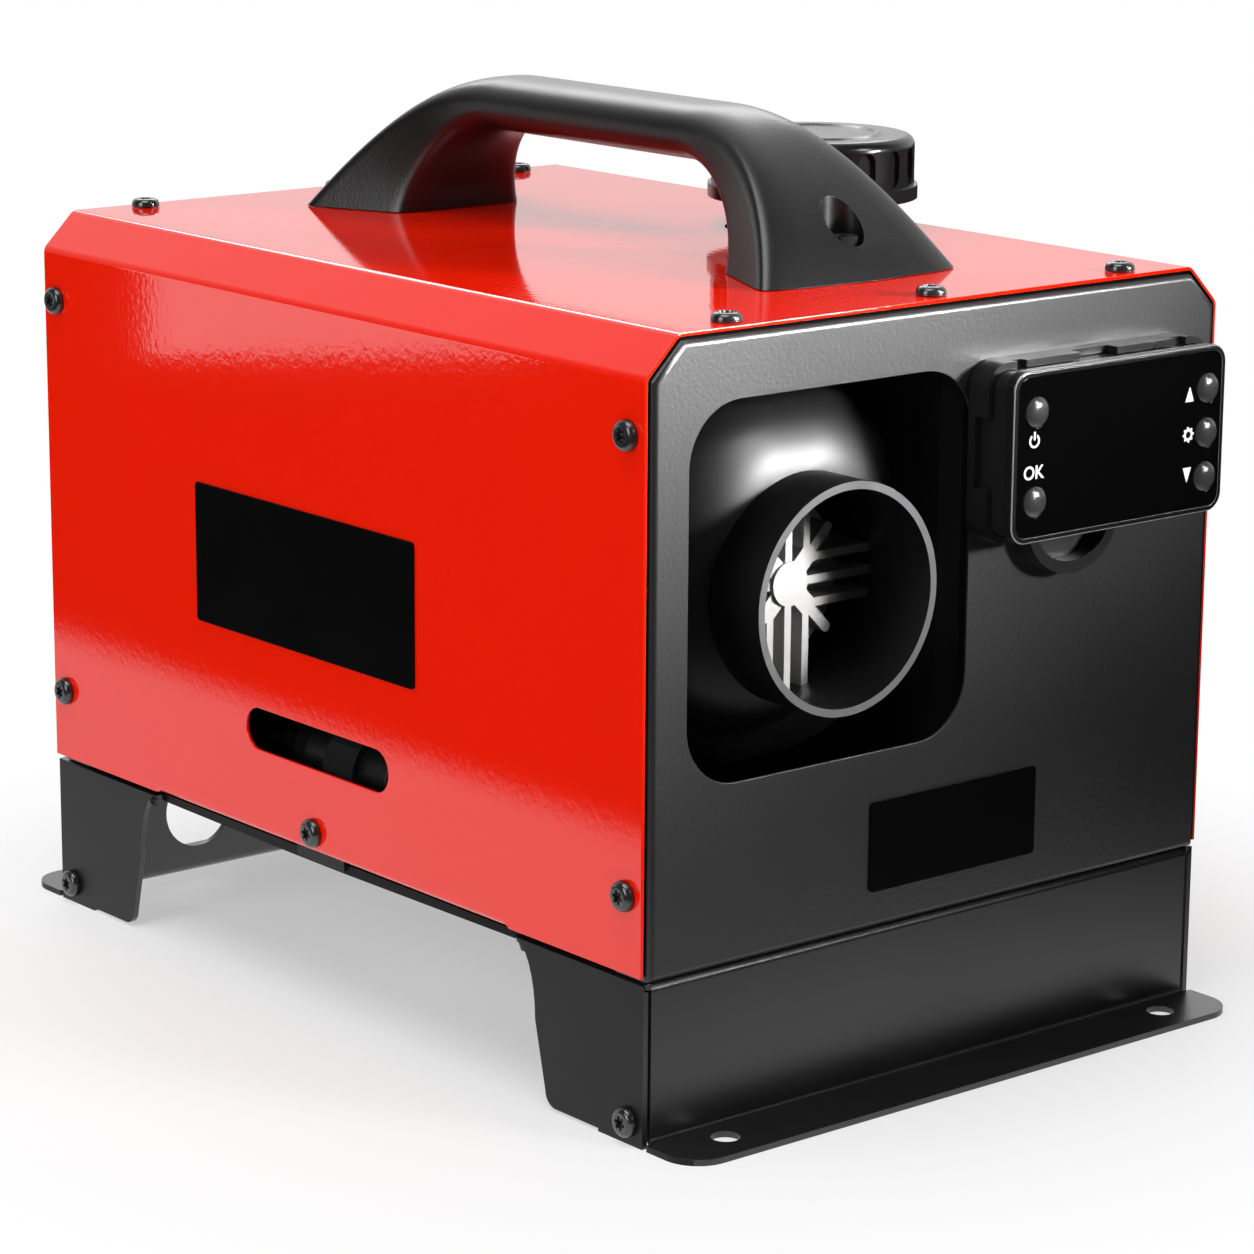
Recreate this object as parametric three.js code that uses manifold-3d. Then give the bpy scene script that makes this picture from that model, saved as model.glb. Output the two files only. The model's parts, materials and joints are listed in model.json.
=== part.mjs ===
// All-in-one diesel air heater: a sheet-metal box on a bent base, with the
// heater, its fuel tank, pump and controller as separate pieces.
// Millimetres, +Z up. The hot-air outlet faces -Y, and the origin is on the
// floor under the middle of the box.

import * as THREE from "three";
import { mergeVertices } from "three/addons/utils/BufferGeometryUtils.js";
import Module from "manifold-3d";

const wasm = await Module();
wasm.setup();

// ---------------------------------------------------------------- sizes

const FIT = 0.3; // clearance between pieces that touch
const PAST = 1; // how far a cutting shape runs past the face it cuts

// Box
const BODY_W = 235; // over the cover's two sides
const BODY_L = 320; // cover, front edge to rear edge
const BODY_H = 242.5; // floor to the flat top of the cover
const COVER_CHAMFER = 12; // both long top edges, 45 degrees
const COVER_T = 1.2;
const COVER_HEM = 6; // inward hem along each lower edge
const HEM_GAP = 3; // between the hem and a leg
const PANEL_T = 1.2;
const PANEL_GROOVE = 0.8; // dark joint between the cover and an end panel
const PANEL_SET_BACK = 2; // rear panel behind the cover's edge
const PANEL_PROUD = 1.5; // front panel before the cover's edge
const PANEL_RETURN = 16; // depth of an end panel's bent rim

// Base
const BASE_T = 2;
const DECK_Z = 51; // top face of the deck
const COVER_LIFT = 1.8; // cover's lower edge above the deck
const LEG_INSET = 1; // leg plate behind the face of the cover's side
const LEG_TOP = 62; // leg plate's length along the deck
const LEG_FOOT = 46; // leg plate's length near the floor
const LEG_CORNER = 5;
const LEG_FLARE = 5; // leg's growth from the floor to the curve
const LEG_CURVE_H = 24; // height of the concave curve under the deck
const LEG_RELIEF = 1; // step in the leg's lower edge
const LEG_RELIEF_AT = 21; // step, from the apron
const APRON_BEND = 3; // outer radius of the deck-to-apron bend
const FLANGE_REACH = 23; // flange beyond the apron
const FLANGE_CORNER = 12;
const FLANGE_HOLE_D = 9;
const FLANGE_HOLE_FROM_SIDE = 24.5;
const FLANGE_HOLE_IN = 12.5; // hole centre from the flange's edge
const EXHAUST_HOLE_D = 27.4; // through the rear apron
const EXHAUST_HOLE_Z = 23;
const SIDE_TAB_W = 26; // upturned tab that the cover's side screws to
const SIDE_TAB_H = 17;
const SIDE_TAB_Y = 5;
const APRON_TAB_W = 11; // flap behind the apron that a leg plate is welded to
const PIPE_GAP = 2; // deck's holes round the pipes

// Screws with a domed head
const SCREW_HEAD_D = 9.4;
const SCREW_HEAD_H = 2.6;
const SCREW_D = 4.4;
const SCREW_LENGTH = 6;
const SOCKET_D = 3.8;
const SOCKET_DEPTH = 1.5;
const EDGE_SCREW_IN = 7.5; // cover screw, from the cover's end
const TOP_SCREW_FROM_SIDE = 36.5;
const SIDE_SCREW_FROM_TOP = 29;
const SIDE_SCREW_OVER_DECK = 25.8;
const TAB_SCREW_OVER_DECK = 8.6;
const LEG_SCREW_Z = 7;
const LEG_SCREW_IN = 7;

// Openings in the cover and the front panel
const SLOT_LENGTH = 78;
const SLOT_H = 14;
const SLOT_Y = 3;
const SLOT_OVER_DECK = 36.7;
const WINDOW_W = 111.5;
const WINDOW_H = 114.2;
const WINDOW_R = 19;
const WINDOW_SHIFT = -1; // window's middle, from the heater's axis
const WINDOW_RISE = 6.3;

// Labels
const LABEL_T = 0.6;
const LABEL_GAP = 0.1;
const LABEL_R = 1.5;
const SIDE_LABEL_L = 119.5;
const SIDE_LABEL_H = 46.5;
const SIDE_LABEL_Y = 9.2;
const SIDE_LABEL_FROM_TOP = 101.2;
const FRONT_LABEL_L = 70;
const FRONT_LABEL_H = 28.5;
const FRONT_LABEL_X = 6.1;
const FRONT_LABEL_OVER_DECK = 26.2;

// Handle
const HANDLE_X = 4;
const HANDLE_Y = 2;
const HANDLE_H = 48; // grip's top above the cover
const GRIP_W = 34;
const GRIP_T = 18;
const GRIP_POWER = 2.6; // of the rounded section: 2 is an ellipse
const FOOT_POWER = 13.6; // nearly square at the foot
const GRIP_HALF = 50; // level part of the grip, each way
const HANDLE_HALF = 125; // to the outer end of a foot
const FOOT_LENGTH = 42;
const FOOT_FLARE = 24.5; // foot's outer edge beyond the grip, each side
const FOOT_INNER_FLARE = 8;
const FOOT_BULGE = 5; // convex outer edge of a foot
const KNUCKLE = 30; // length of the opening's rounded end
const COUNTERBORE_D = 13.8;
const COUNTERBORE_IN = 15; // bolt axis from the foot's outer end
const BOLT_SEAT = 6; // plastic under the bolt's head
const BOLT_D = 6;
const BOLT_HEAD_D = 10;
const BOLT_HEAD_H = 6;
const NUT_D = 11.5;
const NUT_H = 5;

// Heater
const HEATER_FROM_SIDE = 72.3; // axis, from the cover's left side
const HEATER_FROM_TOP = 84.5; // axis, under the cover's top
const CASE_HALF_W = 58;
const CASE_HALF_H = 60;
const CASE_R = 35;
const CASE_WALL = 2.5;
const HOOD_LENGTH = 38;
const HOOD_ROUND = 10; // rounded front edge of the hood
const HOOD_FROM_EDGE = 12; // hood's face behind the cover's front edge
const COLLAR_OUT = 8; // outlet rim in front of the cover's edge
const COLLAR_D = 71;
const COLLAR_WALL = 3;
const INTAKE_D = 77;
const INTAKE_WALL = 2.5;
const INTAKE_OUT = 1; // intake collar behind the rear panel
const INTAKE_GAP = 1.5; // panel's hole round the intake collar
const GRILLE_LENGTH = 21;
const GRILLE_RIB = 3;
const GRILLE_SET_BACK = 2; // bars behind the intake collar's rim
const GRILLE_HOOPS = [0.34, 0.68]; // shares of the intake's bore
const GRILLE_SPOKES = 4; // bars right across
const CORE_D = 52;
const FIN_REACH = 47;
const FIN_T = 2.4;
const FIN_PITCH = 9;
const FIN_FACE = 7; // fin ends behind the hood's face
const FIN_STEP = 8; // fin ends in front of the core
const FIN_SHORT = 10; // fins end before the core's rear end
const HUB_PROUD = 1; // hub in front of the fins
const HUB_D = 13.8;
const EXCHANGER_L = 178;
const FOOT_W = 50;
const FOOT_L = 84;
const FOOT_Y = -30;
const FOOT_DROP = 6; // foot below the casing

// Fans and their motor
const SHAFT_D = 6;
const SHAFT_LENGTH = 76;
const WHEEL_D = 92;
const WHEEL_H = 14;
const WHEEL_BLADES = 12;
const BLADE_T = 1.6;
const DISC_T = 2;
const HUB_WALL = 6;
const IMPELLER_D = 64;
const IMPELLER_H = 9;
const MOTOR_D = 52;
const MOTOR_L = 34;
const FAN_GAP = 3;
const SPIDER_T = 3;
const SPIDER_W = 16;

// Control board
const BOARD_T = 1.6;
const BOARD_W = 54;
const BOARD_L = 48;
const BOARD_PART_H = 4;
const BOARD_Y = 30;

// Stand, pipes
const STAND_T = 2;
const STAND_W = 60;
const STAND_L = 100;
const STAND_FOOT = 8;
const PIPE_D = 22;
const PIPE_WALL = 1.5;
const PIPE_SPREAD = 15; // exhaust and intake, each way from the heater's axis
const PIPE_UNDER_DECK = 15; // axis of the level part, under the deck's top face
const PIPE_BEND = 18;
const PIPE_END = 62; // beyond the foot's middle

// Fuel tank, neck and cap
const TANK_GAP = 11; // between the heater's casing and the tank
const TANK_SIDE_GAP = 1; // between the tank and the cover's hem
const TANK_END_GAP = 4;
const TANK_TOP_GAP = 9;
const TANK_WALL = 3;
const TANK_R = 14;
const FILLER_FROM_SIDE = 47.5;
const FILLER_Y = -21;
const NECK_D = 56;
const NECK_WALL = 4;
const NECK_TOP = 19.5; // above the cover
const NECK_GAP = 1; // hole in the cover round the neck
const CAP_LIFT = 10.5; // brim above the cover
const CAP_H = 21;
const CAP_D = 67.6;
const CAP_BRIM_D = 70;
const CAP_BRIM_H = 4.5;
const CAP_ROUND = 3.5;
const CAP_FLUTES = 18;
const FLUTE_W = 6.2;
const FLUTE_R = 3;
const FLUTE_OVER_BRIM = 0.8;
const FLUTE_DEPTH = 1.6;
const FLUTE_H = 12;
const CAP_RING_D = 44;
const CAP_RING_H = 0.6;
const GASKET_T = 2.4;
const GASKET_WALL = 3.4;

// Fuel pump and lines
const PUMP_FROM_SIDE = 22.5;
const PUMP_Y = 3;
const PUMP_OVER_DECK = 27;
const PUMP_D = 24;
const PUMP_L = 66;
const PUMP_COIL = 0.7; // share of the length that has the full diameter
const PUMP_END_D = 17.28;
const NIPPLE_D = 5;
const NIPPLE_L = 9;
const LINE_D = 6;
const LINE_BEND = 20; // straight length kept before a line turns
const CLAMP_T = 2;
const CLAMP_W = 16;
const CLAMP_FOOT = 10;
const TANK_OUTLET_Y = 74;
const TANK_OUTLET_OVER_DECK = 13;

// Controller
const DISPLAY_FROM_SIDE = 62.15;
const DISPLAY_FROM_TOP = 47.5;
const DISPLAY_W = 92.3;
const DISPLAY_H = 53;
const DISPLAY_OUT = 18.5; // face in front of the panel
const DISPLAY_R = 6;
const CRADLE_T = 3;
const CRADLE_W = 85.7;
const CRADLE_H = 48;
const CRADLE_R = 3;
const CRADLE_TAB_W = 10;
const CRADLE_TAB_T = 2.2;
const CRADLE_TAB_L = 8;
const LOOP_X = -7;
const LOOP_W = 39;
const LOOP_DROP = 18; // below the cradle's plate
const LOOP_R = 8;
const LOOP_BAR = 4.5;
const SHELL_WALL = 2;
const POST_D = 4;
const POST_IN = 7; // post's axis, from the shell's sides
const SHELL_INSET = 1.2; // rear shell inside the bezel's edge
const BEZEL_T = 3.7;
const BEZEL_RIM = 1.85;
const BEZEL_LIP = 1;
const GLASS_T = 2;
const BUTTON_D = 9.3;
const BUTTON_GAP = 0.4;
const BUTTON_STEM_D = 4.4;
const BUTTON_PROUD = 1.6;
const BUTTON_TRAVEL = 1;
const LEFT_BUTTON_X = -36.35;
const RIGHT_BUTTON_X = 38.15;
const BUTTON_PITCH = 14;
const LEFT_BUTTON_Z = 13.75;
const RIGHT_BUTTON_Z = -1;
const PCB_BACK = 6; // board behind the shell's front edge
const CABLE_HOLE_D = 8;

// Cable gland in the rear panel
const GLAND_FROM_SIDE = 55.5;
const GLAND_OVER_DECK = 33;
const GLAND_D = 22;
const GLAND_THREAD_D = 15.4;
const GLAND_BORE_D = 7;
const GLAND_OUT = 14;
const GLAND_NUT = 6;

// Places that follow from the sizes
const HALF_W = BODY_W / 2;
const HALF_L = BODY_L / 2;
const COVER_Z = DECK_Z + COVER_LIFT;
const LEG_X = HALF_W - LEG_INSET;
const PANEL_Y = HALF_L - PANEL_SET_BACK;
const FRONT_Y = HALF_L + PANEL_PROUD;
const SLOT_Z = DECK_Z + SLOT_OVER_DECK;
const HEATER_X = HEATER_FROM_SIDE - HALF_W;
const HEATER_Z = BODY_H - HEATER_FROM_TOP;
const WINDOW_X = HEATER_X + WINDOW_SHIFT;
const WINDOW_Z = HEATER_Z + WINDOW_RISE;
const EXHAUST_X = HEATER_X - PIPE_SPREAD;
const PIPE_Z = DECK_Z - PIPE_UNDER_DECK;
const FILLER_X = HALF_W - FILLER_FROM_SIDE;
const PUMP_X = PUMP_FROM_SIDE - HALF_W;
const PUMP_Z = DECK_Z + PUMP_OVER_DECK;
const DISPLAY_X = HALF_W - DISPLAY_FROM_SIDE;
const DISPLAY_Z = BODY_H - DISPLAY_FROM_TOP;
const GLAND_X = HALF_W - GLAND_FROM_SIDE;
const GLAND_Z = DECK_Z + GLAND_OVER_DECK;
const HOOD_FACE = -HALF_L + HOOD_FROM_EDGE;
const CASE_FRONT = HOOD_FACE + HOOD_LENGTH;
const INTAKE_RIM = PANEL_Y + INTAKE_OUT;
const GRILLE_BACK = PANEL_Y - PANEL_RETURN - FIT;
const CASE_BACK = GRILLE_BACK - GRILLE_LENGTH;
const STAND_TOP = HEATER_Z - CASE_HALF_H - FOOT_DROP;
const WHEEL_BACK = CASE_BACK - FIT;
const MOTOR_BACK = WHEEL_BACK - WHEEL_H - FAN_GAP;
const MOTOR_FRONT = MOTOR_BACK - MOTOR_L;
const IMPELLER_BACK = MOTOR_FRONT - FAN_GAP;
const NECK_Z = BODY_H + NECK_TOP;
const CAP_Z = BODY_H + CAP_LIFT;

// ------------------------------------------------------------ materials

function material(color, roughness, metalness) {
  return new THREE.MeshStandardMaterial({ color, roughness, metalness });
}

const RED_COAT = material(0xe21f06, 0.22, 0);
const PANEL_COAT = material(0x2c2d2f, 0.62, 0);
const BASE_COAT = material(0x1d1e20, 0.45, 0);
const GRAINED_PLASTIC = material(0x333435, 0.7, 0);
const GLOSS_PLASTIC = material(0x101112, 0.22, 0);
const CASE_PLASTIC = material(0x1a1b1c, 0.5, 0);
const CAST_ALUMINIUM = material(0xa9a7a3, 0.45, 1);
const ZINC_STEEL = material(0xb4b6b8, 0.35, 1);
const BLACK_STEEL = material(0x17181a, 0.3, 0.8);
const EXHAUST_STEEL = material(0x8d8a85, 0.4, 1);
const TANK_PLASTIC = material(0x232425, 0.55, 0);
const RUBBER = material(0x141414, 0.85, 0);
const FUEL_HOSE = material(0x2b2b2b, 0.6, 0);
const GLASS = material(0x050506, 0.06, 0);
const LABEL_FILM = material(0x0b0b0c, 0.35, 0);
const BOARD_GREEN = material(0x1f5a32, 0.5, 0);

// ----------------------------------------------------- solids and places

// A closed geometry as a solid that can be cut and joined.
function solid(geometry) {
  const bare = new THREE.BufferGeometry();
  bare.setAttribute("position", geometry.getAttribute("position"));
  bare.setIndex(geometry.index);
  const merged = mergeVertices(bare, 1e-4);
  return new wasm.Manifold(
    new wasm.Mesh({
      numProp: 3,
      vertProperties: merged.attributes.position.array,
      triVerts: new Uint32Array(merged.index.array),
    }),
  );
}

function join(first, ...others) {
  return others.reduce((sum, next) => sum.add(next), first);
}

function cut(body, ...tools) {
  return tools.reduce((rest, tool) => rest.subtract(tool), body);
}

// A named mesh from a solid.
function piece(name, body, look) {
  const { vertProperties, triVerts } = body.getMesh();
  const geometry = new THREE.BufferGeometry();
  geometry.setAttribute("position", new THREE.BufferAttribute(vertProperties, 3));
  geometry.setIndex(new THREE.BufferAttribute(triVerts, 1));
  geometry.computeVertexNormals();
  const mesh = new THREE.Mesh(geometry, look);
  mesh.name = name;
  return mesh;
}

// Two places along an axis, the lower one first.
function span(a, b) {
  return a < b ? [a, b] : [b, a];
}

// A block between two corners.
function block([x0, x1], [y0, y1], [z0, z1]) {
  const geometry = new THREE.BoxGeometry(x1 - x0, y1 - y0, z1 - z0);
  geometry.translate((x0 + x1) / 2, (y0 + y1) / 2, (z0 + z1) / 2);
  return solid(geometry);
}

// Where a section's own x, y and depth point when it is extruded along an axis.
const SECTION_AXES = {
  x: [new THREE.Vector3(0, 1, 0), new THREE.Vector3(0, 0, 1), new THREE.Vector3(1, 0, 0)],
  y: [new THREE.Vector3(1, 0, 0), new THREE.Vector3(0, 0, 1), new THREE.Vector3(0, -1, 0)],
  z: [new THREE.Vector3(1, 0, 0), new THREE.Vector3(0, 1, 0), new THREE.Vector3(0, 0, 1)],
};

// An outline extruded along an axis from one place to another. The outline lies
// in (y, z) for x, in (x, z) for y and in (x, y) for z.
function prism(axis, points, from, to, options = {}) {
  const geometry = new THREE.ExtrudeGeometry(new THREE.Shape(points), {
    depth: to - from,
    bevelEnabled: false,
    ...options,
  });
  geometry.applyMatrix4(new THREE.Matrix4().makeBasis(...SECTION_AXES[axis]));
  const start = axis === "y" ? to : from;
  const shift = { x: [start, 0, 0], y: [0, start, 0], z: [0, 0, start] }[axis];
  geometry.translate(...shift);
  return solid(geometry);
}

// Points of an arc, in degrees, with both of its ends.
function arc(x, y, r, from, to, steps, ry = r) {
  return Array.from({ length: steps + 1 }, (_, i) => {
    const angle = THREE.MathUtils.degToRad(from + ((to - from) * i) / steps);
    return new THREE.Vector2(x + r * Math.cos(angle), y + ry * Math.sin(angle));
  });
}

function points(...pairs) {
  return pairs.map(([x, y]) => new THREE.Vector2(x, y));
}

function circle(x, y, r, sides = 24) {
  return arc(x, y, r, 0, 360 - 360 / sides, sides - 1);
}

function roundedRectangle(x, y, halfW, halfH, r, steps = 4) {
  return [
    ...arc(x + halfW - r, y + halfH - r, r, 0, 90, steps),
    ...arc(x - halfW + r, y + halfH - r, r, 90, 180, steps),
    ...arc(x - halfW + r, y - halfH + r, r, 180, 270, steps),
    ...arc(x + halfW - r, y - halfH + r, r, 270, 360, steps),
  ];
}

function rod(axis, [u, v], d, from, to, sides = 24) {
  return prism(axis, circle(u, v, d / 2, sides), from, to);
}

// A profile of [radius, height] pairs turned about Z.
function turned(profile, sides = 24) {
  const outline = points(...profile);
  if (THREE.ShapeUtils.isClockWise(outline)) outline.reverse();
  outline.push(outline[0].clone());
  const geometry = new THREE.LatheGeometry(outline, sides);
  geometry.rotateX(Math.PI / 2);
  return solid(geometry);
}

// A round tube along a curve, with a bore or solid.
function tube(curve, d, steps, sides, bore = 0) {
  const shape = new THREE.Shape(circle(0, 0, d / 2, sides));
  if (bore) shape.holes.push(new THREE.Path(circle(0, 0, bore / 2, sides)));
  return solid(
    new THREE.ExtrudeGeometry(shape, { steps, extrudePath: curve, bevelEnabled: false }),
  );
}

// --------------------------------------------------------------- screws

// Screw places as [name, [x, y, z], outward direction].
const UP = new THREE.Vector3(0, 0, 1);
const LEFT = new THREE.Vector3(-1, 0, 0);
const RIGHT = new THREE.Vector3(1, 0, 0);

function screwPlaces() {
  const places = [];
  const pitch = HALF_W - TOP_SCREW_FROM_SIDE;
  const upper = BODY_H - SIDE_SCREW_FROM_TOP;
  const lower = DECK_Z + SIDE_SCREW_OVER_DECK;
  for (const [end, sign] of [["front", -1], ["rear", 1]]) {
    const y = sign * (HALF_L - EDGE_SCREW_IN);
    for (const [spot, step] of [["left", -1], ["middle", 0], ["right", 1]])
      places.push([`screw_top_${end}_${spot}`, [step * pitch, y, BODY_H], UP]);
    for (const [side, out] of [["left", LEFT], ["right", RIGHT]]) {
      const x = out.x * HALF_W;
      places.push([`screw_${side}_${end}_upper`, [x, y, upper], out]);
      places.push([`screw_${side}_${end}_lower`, [x, y, lower], out]);
      const legY = sign * (HALF_L - LEG_SCREW_IN);
      places.push([`screw_${side}_${end}_leg`, [out.x * LEG_X, legY, LEG_SCREW_Z], out]);
    }
  }
  for (const [side, out] of [["left", LEFT], ["right", RIGHT]])
    places.push([
      `screw_${side}_tab`,
      [out.x * HALF_W, SIDE_TAB_Y, DECK_Z + TAB_SCREW_OVER_DECK],
      out,
    ]);
  return places;
}

const SCREWS = screwPlaces();

// Domed head with a round socket, and a short shank, head up.
function screwSolid() {
  const head = SCREW_HEAD_D / 2;
  const socket = SOCKET_D / 2;
  const shank = SCREW_D / 2;
  return turned(
    [
      [0, SCREW_HEAD_H - SOCKET_DEPTH],
      [socket, SCREW_HEAD_H - SOCKET_DEPTH],
      [socket, SCREW_HEAD_H],
      [head * 0.75, SCREW_HEAD_H * 0.7],
      [head, 0],
      [shank, 0],
      [shank, -SCREW_LENGTH],
      [0, -SCREW_LENGTH],
    ],
    8,
  );
}

function screws() {
  const body = screwSolid();
  return SCREWS.map(([name, [x, y, z], out]) => {
    const mesh = piece(name, body, BLACK_STEEL);
    mesh.quaternion.setFromUnitVectors(UP, out);
    mesh.position.set(x, y, z).addScaledVector(out, FIT);
    return mesh;
  });
}

// Clearance holes for the screws that pass through a sheet.
function screwHoles() {
  const d = SCREW_D + 2 * FIT;
  const reach = SCREW_LENGTH + 2 * PAST;
  return SCREWS.map(([, [x, y, z], out]) =>
    out === UP
      ? rod("z", [x, y], d, z - reach, z + PAST, 8)
      : rod("x", [y, z], d, ...span(x - out.x * reach, x + out.x * PAST), 8),
  );
}

// ------------------------------------------------------------- box, base

// The box's end view, open at the bottom, inset from the outside of the cover.
function boxOutline(inset, bottom) {
  const w = HALF_W - inset;
  const top = BODY_H - inset;
  const leg = COVER_CHAMFER - inset * (2 - Math.SQRT2);
  return points(
    [w, bottom],
    [w, top - leg],
    [w - leg, top],
    [leg - w, top],
    [-w, top - leg],
    [-w, bottom],
  );
}

function slotOutline() {
  return roundedRectangle(SLOT_Y, SLOT_Z, SLOT_LENGTH / 2, SLOT_H / 2, SLOT_H / 2, 6);
}

// Inverted U of sheet, hemmed inwards between the legs.
function topCover() {
  const section = [...boxOutline(0, COVER_Z), ...boxOutline(COVER_T, COVER_Z).reverse()];
  let body = prism("y", section, -HALF_L, HALF_L);
  const hemEnd = HALF_L - LEG_TOP - HEM_GAP;
  const tab = SIDE_TAB_W / 2 + PAST;
  const sheet = [COVER_Z, COVER_Z + COVER_T];
  for (const side of [-1, 1])
    for (const y of [[-hemEnd, SIDE_TAB_Y - tab], [SIDE_TAB_Y + tab, hemEnd]]) {
      const x = span(side * (HALF_W - COVER_T / 2), side * (HALF_W - COVER_T - COVER_HEM));
      body = join(body, block(x, y, sheet));
    }
  const through = [BODY_H - COVER_T - PAST, BODY_H + PAST];
  return cut(
    body,
    prism("x", slotOutline(), -HALF_W - PAST, COVER_T + PAST - HALF_W),
    rod("z", [FILLER_X, FILLER_Y], NECK_D + 2 * NECK_GAP, ...through),
    ...handleBoltHoles(...through),
    ...screwHoles(),
  );
}

// Pan-shaped end panel, its bent rim towards the middle of the box.
function panelBlank(face) {
  const inset = COVER_T + PANEL_GROOVE;
  const depth = PANEL_RETURN;
  const outer = prism("y", boxOutline(inset, DECK_Z + FIT), -face, depth - face);
  const inner = prism(
    "y",
    boxOutline(inset + PANEL_T, DECK_Z + FIT + PANEL_T),
    PANEL_T - face,
    depth - face + PAST,
  );
  return cut(outer, inner);
}

function frontPanel() {
  const window = roundedRectangle(WINDOW_X, WINDOW_Z, WINDOW_W / 2, WINDOW_H / 2, WINDOW_R);
  const through = [-FRONT_Y - PAST, PANEL_T + PAST - FRONT_Y];
  return cut(
    panelBlank(FRONT_Y),
    prism("y", window, ...through),
    rod("y", [DISPLAY_X, DISPLAY_Z], CABLE_HOLE_D, ...through, 10),
    ...screwHoles(),
  );
}

function rearPanel() {
  const through = [PANEL_Y - PANEL_T - PAST, PANEL_Y + PAST];
  return cut(
    panelBlank(PANEL_Y).mirror([0, 1, 0]),
    rod("y", [HEATER_X, HEATER_Z], INTAKE_D + 2 * INTAKE_GAP, ...through, 32),
    rod("y", [GLAND_X, GLAND_Z], GLAND_THREAD_D + 2 * FIT, ...through, 12),
    ...screwHoles(),
  );
}

// Bent edge of the base at one end: deck, apron and outward flange, as (y, z).
function apronSection() {
  const face = -HALF_L;
  const r = APRON_BEND;
  const t = BASE_T;
  const end = face - FLANGE_REACH;
  return [
    ...points([end, 0], [face + t, 0]),
    ...arc(face + r, DECK_Z - r, r - t, 180, 90, 3),
    ...points([face + LEG_TOP, DECK_Z - t], [face + LEG_TOP, DECK_Z]),
    ...arc(face + r, DECK_Z - r, r, 90, 180, 4),
    ...points([face, t], [end, t]),
  ];
}

function flangeCorners() {
  const end = -HALF_L - FLANGE_REACH;
  return [-1, 1].map((side) => {
    const x = side * LEG_X;
    const c = [x - side * FLANGE_CORNER, end + FLANGE_CORNER];
    const outside = [
      ...arc(c[0], c[1], FLANGE_CORNER, side > 0 ? 0 : 180, side > 0 ? -90 : 270, 5),
      ...points([c[0], end - PAST], [x + side * PAST, end - PAST], [x + side * PAST, c[1]]),
    ];
    return prism("z", side > 0 ? outside : outside.reverse(), -PAST, BASE_T + PAST);
  });
}

function flangeHoles() {
  const x = HALF_W - FLANGE_HOLE_FROM_SIDE;
  const y = -HALF_L - FLANGE_REACH + FLANGE_HOLE_IN;
  return [-x, x].map((place) =>
    rod("z", [place, y], FLANGE_HOLE_D, -PAST, BASE_T + PAST, 16),
  );
}

// Leg plate in (y, z): straight at the apron, with a concave inner edge.
function legOutline() {
  const front = -HALF_L;
  const step = front + LEG_RELIEF_AT;
  const foot = front + LEG_FOOT;
  const top = front + LEG_TOP;
  const knee = DECK_Z - LEG_CURVE_H;
  return [
    ...points([front, 0], [step, 0], [step, LEG_RELIEF]),
    ...arc(foot - LEG_CORNER, LEG_RELIEF + LEG_CORNER, LEG_CORNER, -90, 0, 3),
    ...arc(top, knee, top - foot - LEG_FLARE, 180, 90, 5, LEG_CURVE_H),
    ...points([front, DECK_Z]),
  ];
}

// Half of the base, from its front flange to the middle.
function baseEnd() {
  const sheet = [BASE_T / 2 - HALF_L, 2 * BASE_T - HALF_L];
  const legs = [-1, 1].flatMap((side) => {
    const inside = side * (LEG_X - BASE_T);
    return [
      prism("x", legOutline(), ...span(side * LEG_X, inside)),
      block(span(inside, inside - side * APRON_TAB_W), sheet, [BASE_T / 2, DECK_Z - BASE_T]),
    ];
  });
  return join(
    cut(
      prism("x", apronSection(), -LEG_X, LEG_X),
      ...flangeCorners(),
      ...flangeHoles(),
    ),
    ...legs,
  );
}

// One bent sheet: deck, two aprons with flanges, four legs and two side tabs.
function basePlate() {
  const end = baseEnd();
  const edge = HALF_W - COVER_T - FIT;
  const middle = HALF_L - LEG_TOP + PAST;
  const deck = block([-edge, edge], [-middle, middle], [DECK_Z - BASE_T, DECK_Z]);
  const tabs = [-1, 1].map((side) =>
    block(
      span(side * edge, side * (edge - BASE_T)),
      [SIDE_TAB_Y - SIDE_TAB_W / 2, SIDE_TAB_Y + SIDE_TAB_W / 2],
      [DECK_Z - BASE_T, DECK_Z + SIDE_TAB_H],
    ),
  );
  const pipes = [-1, 1].map((side) =>
    rod(
      "z",
      [HEATER_X + side * PIPE_SPREAD, FOOT_Y],
      PIPE_D + 2 * PIPE_GAP,
      DECK_Z - BASE_T - PAST,
      DECK_Z + PAST,
      16,
    ),
  );
  const apron = [HALF_L - BASE_T - PAST, HALF_L + PAST];
  return cut(
    join(end, end.mirror([0, 1, 0]), deck, ...tabs),
    rod("y", [EXHAUST_X, EXHAUST_HOLE_Z], EXHAUST_HOLE_D, ...apron),
    ...pipes,
    ...screwHoles(),
  );
}

// ---------------------------------------------------------------- handle

const GRIP_TOP = BODY_H + HANDLE_H;
const BOLT_Y = HANDLE_HALF - COUNTERBORE_IN;

function handleBoltHoles(from, to) {
  return [-1, 1].map((end) =>
    rod("z", [HANDLE_X, HANDLE_Y + end * BOLT_Y], BOLT_D + 2 * FIT, from, to, 8),
  );
}

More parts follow.
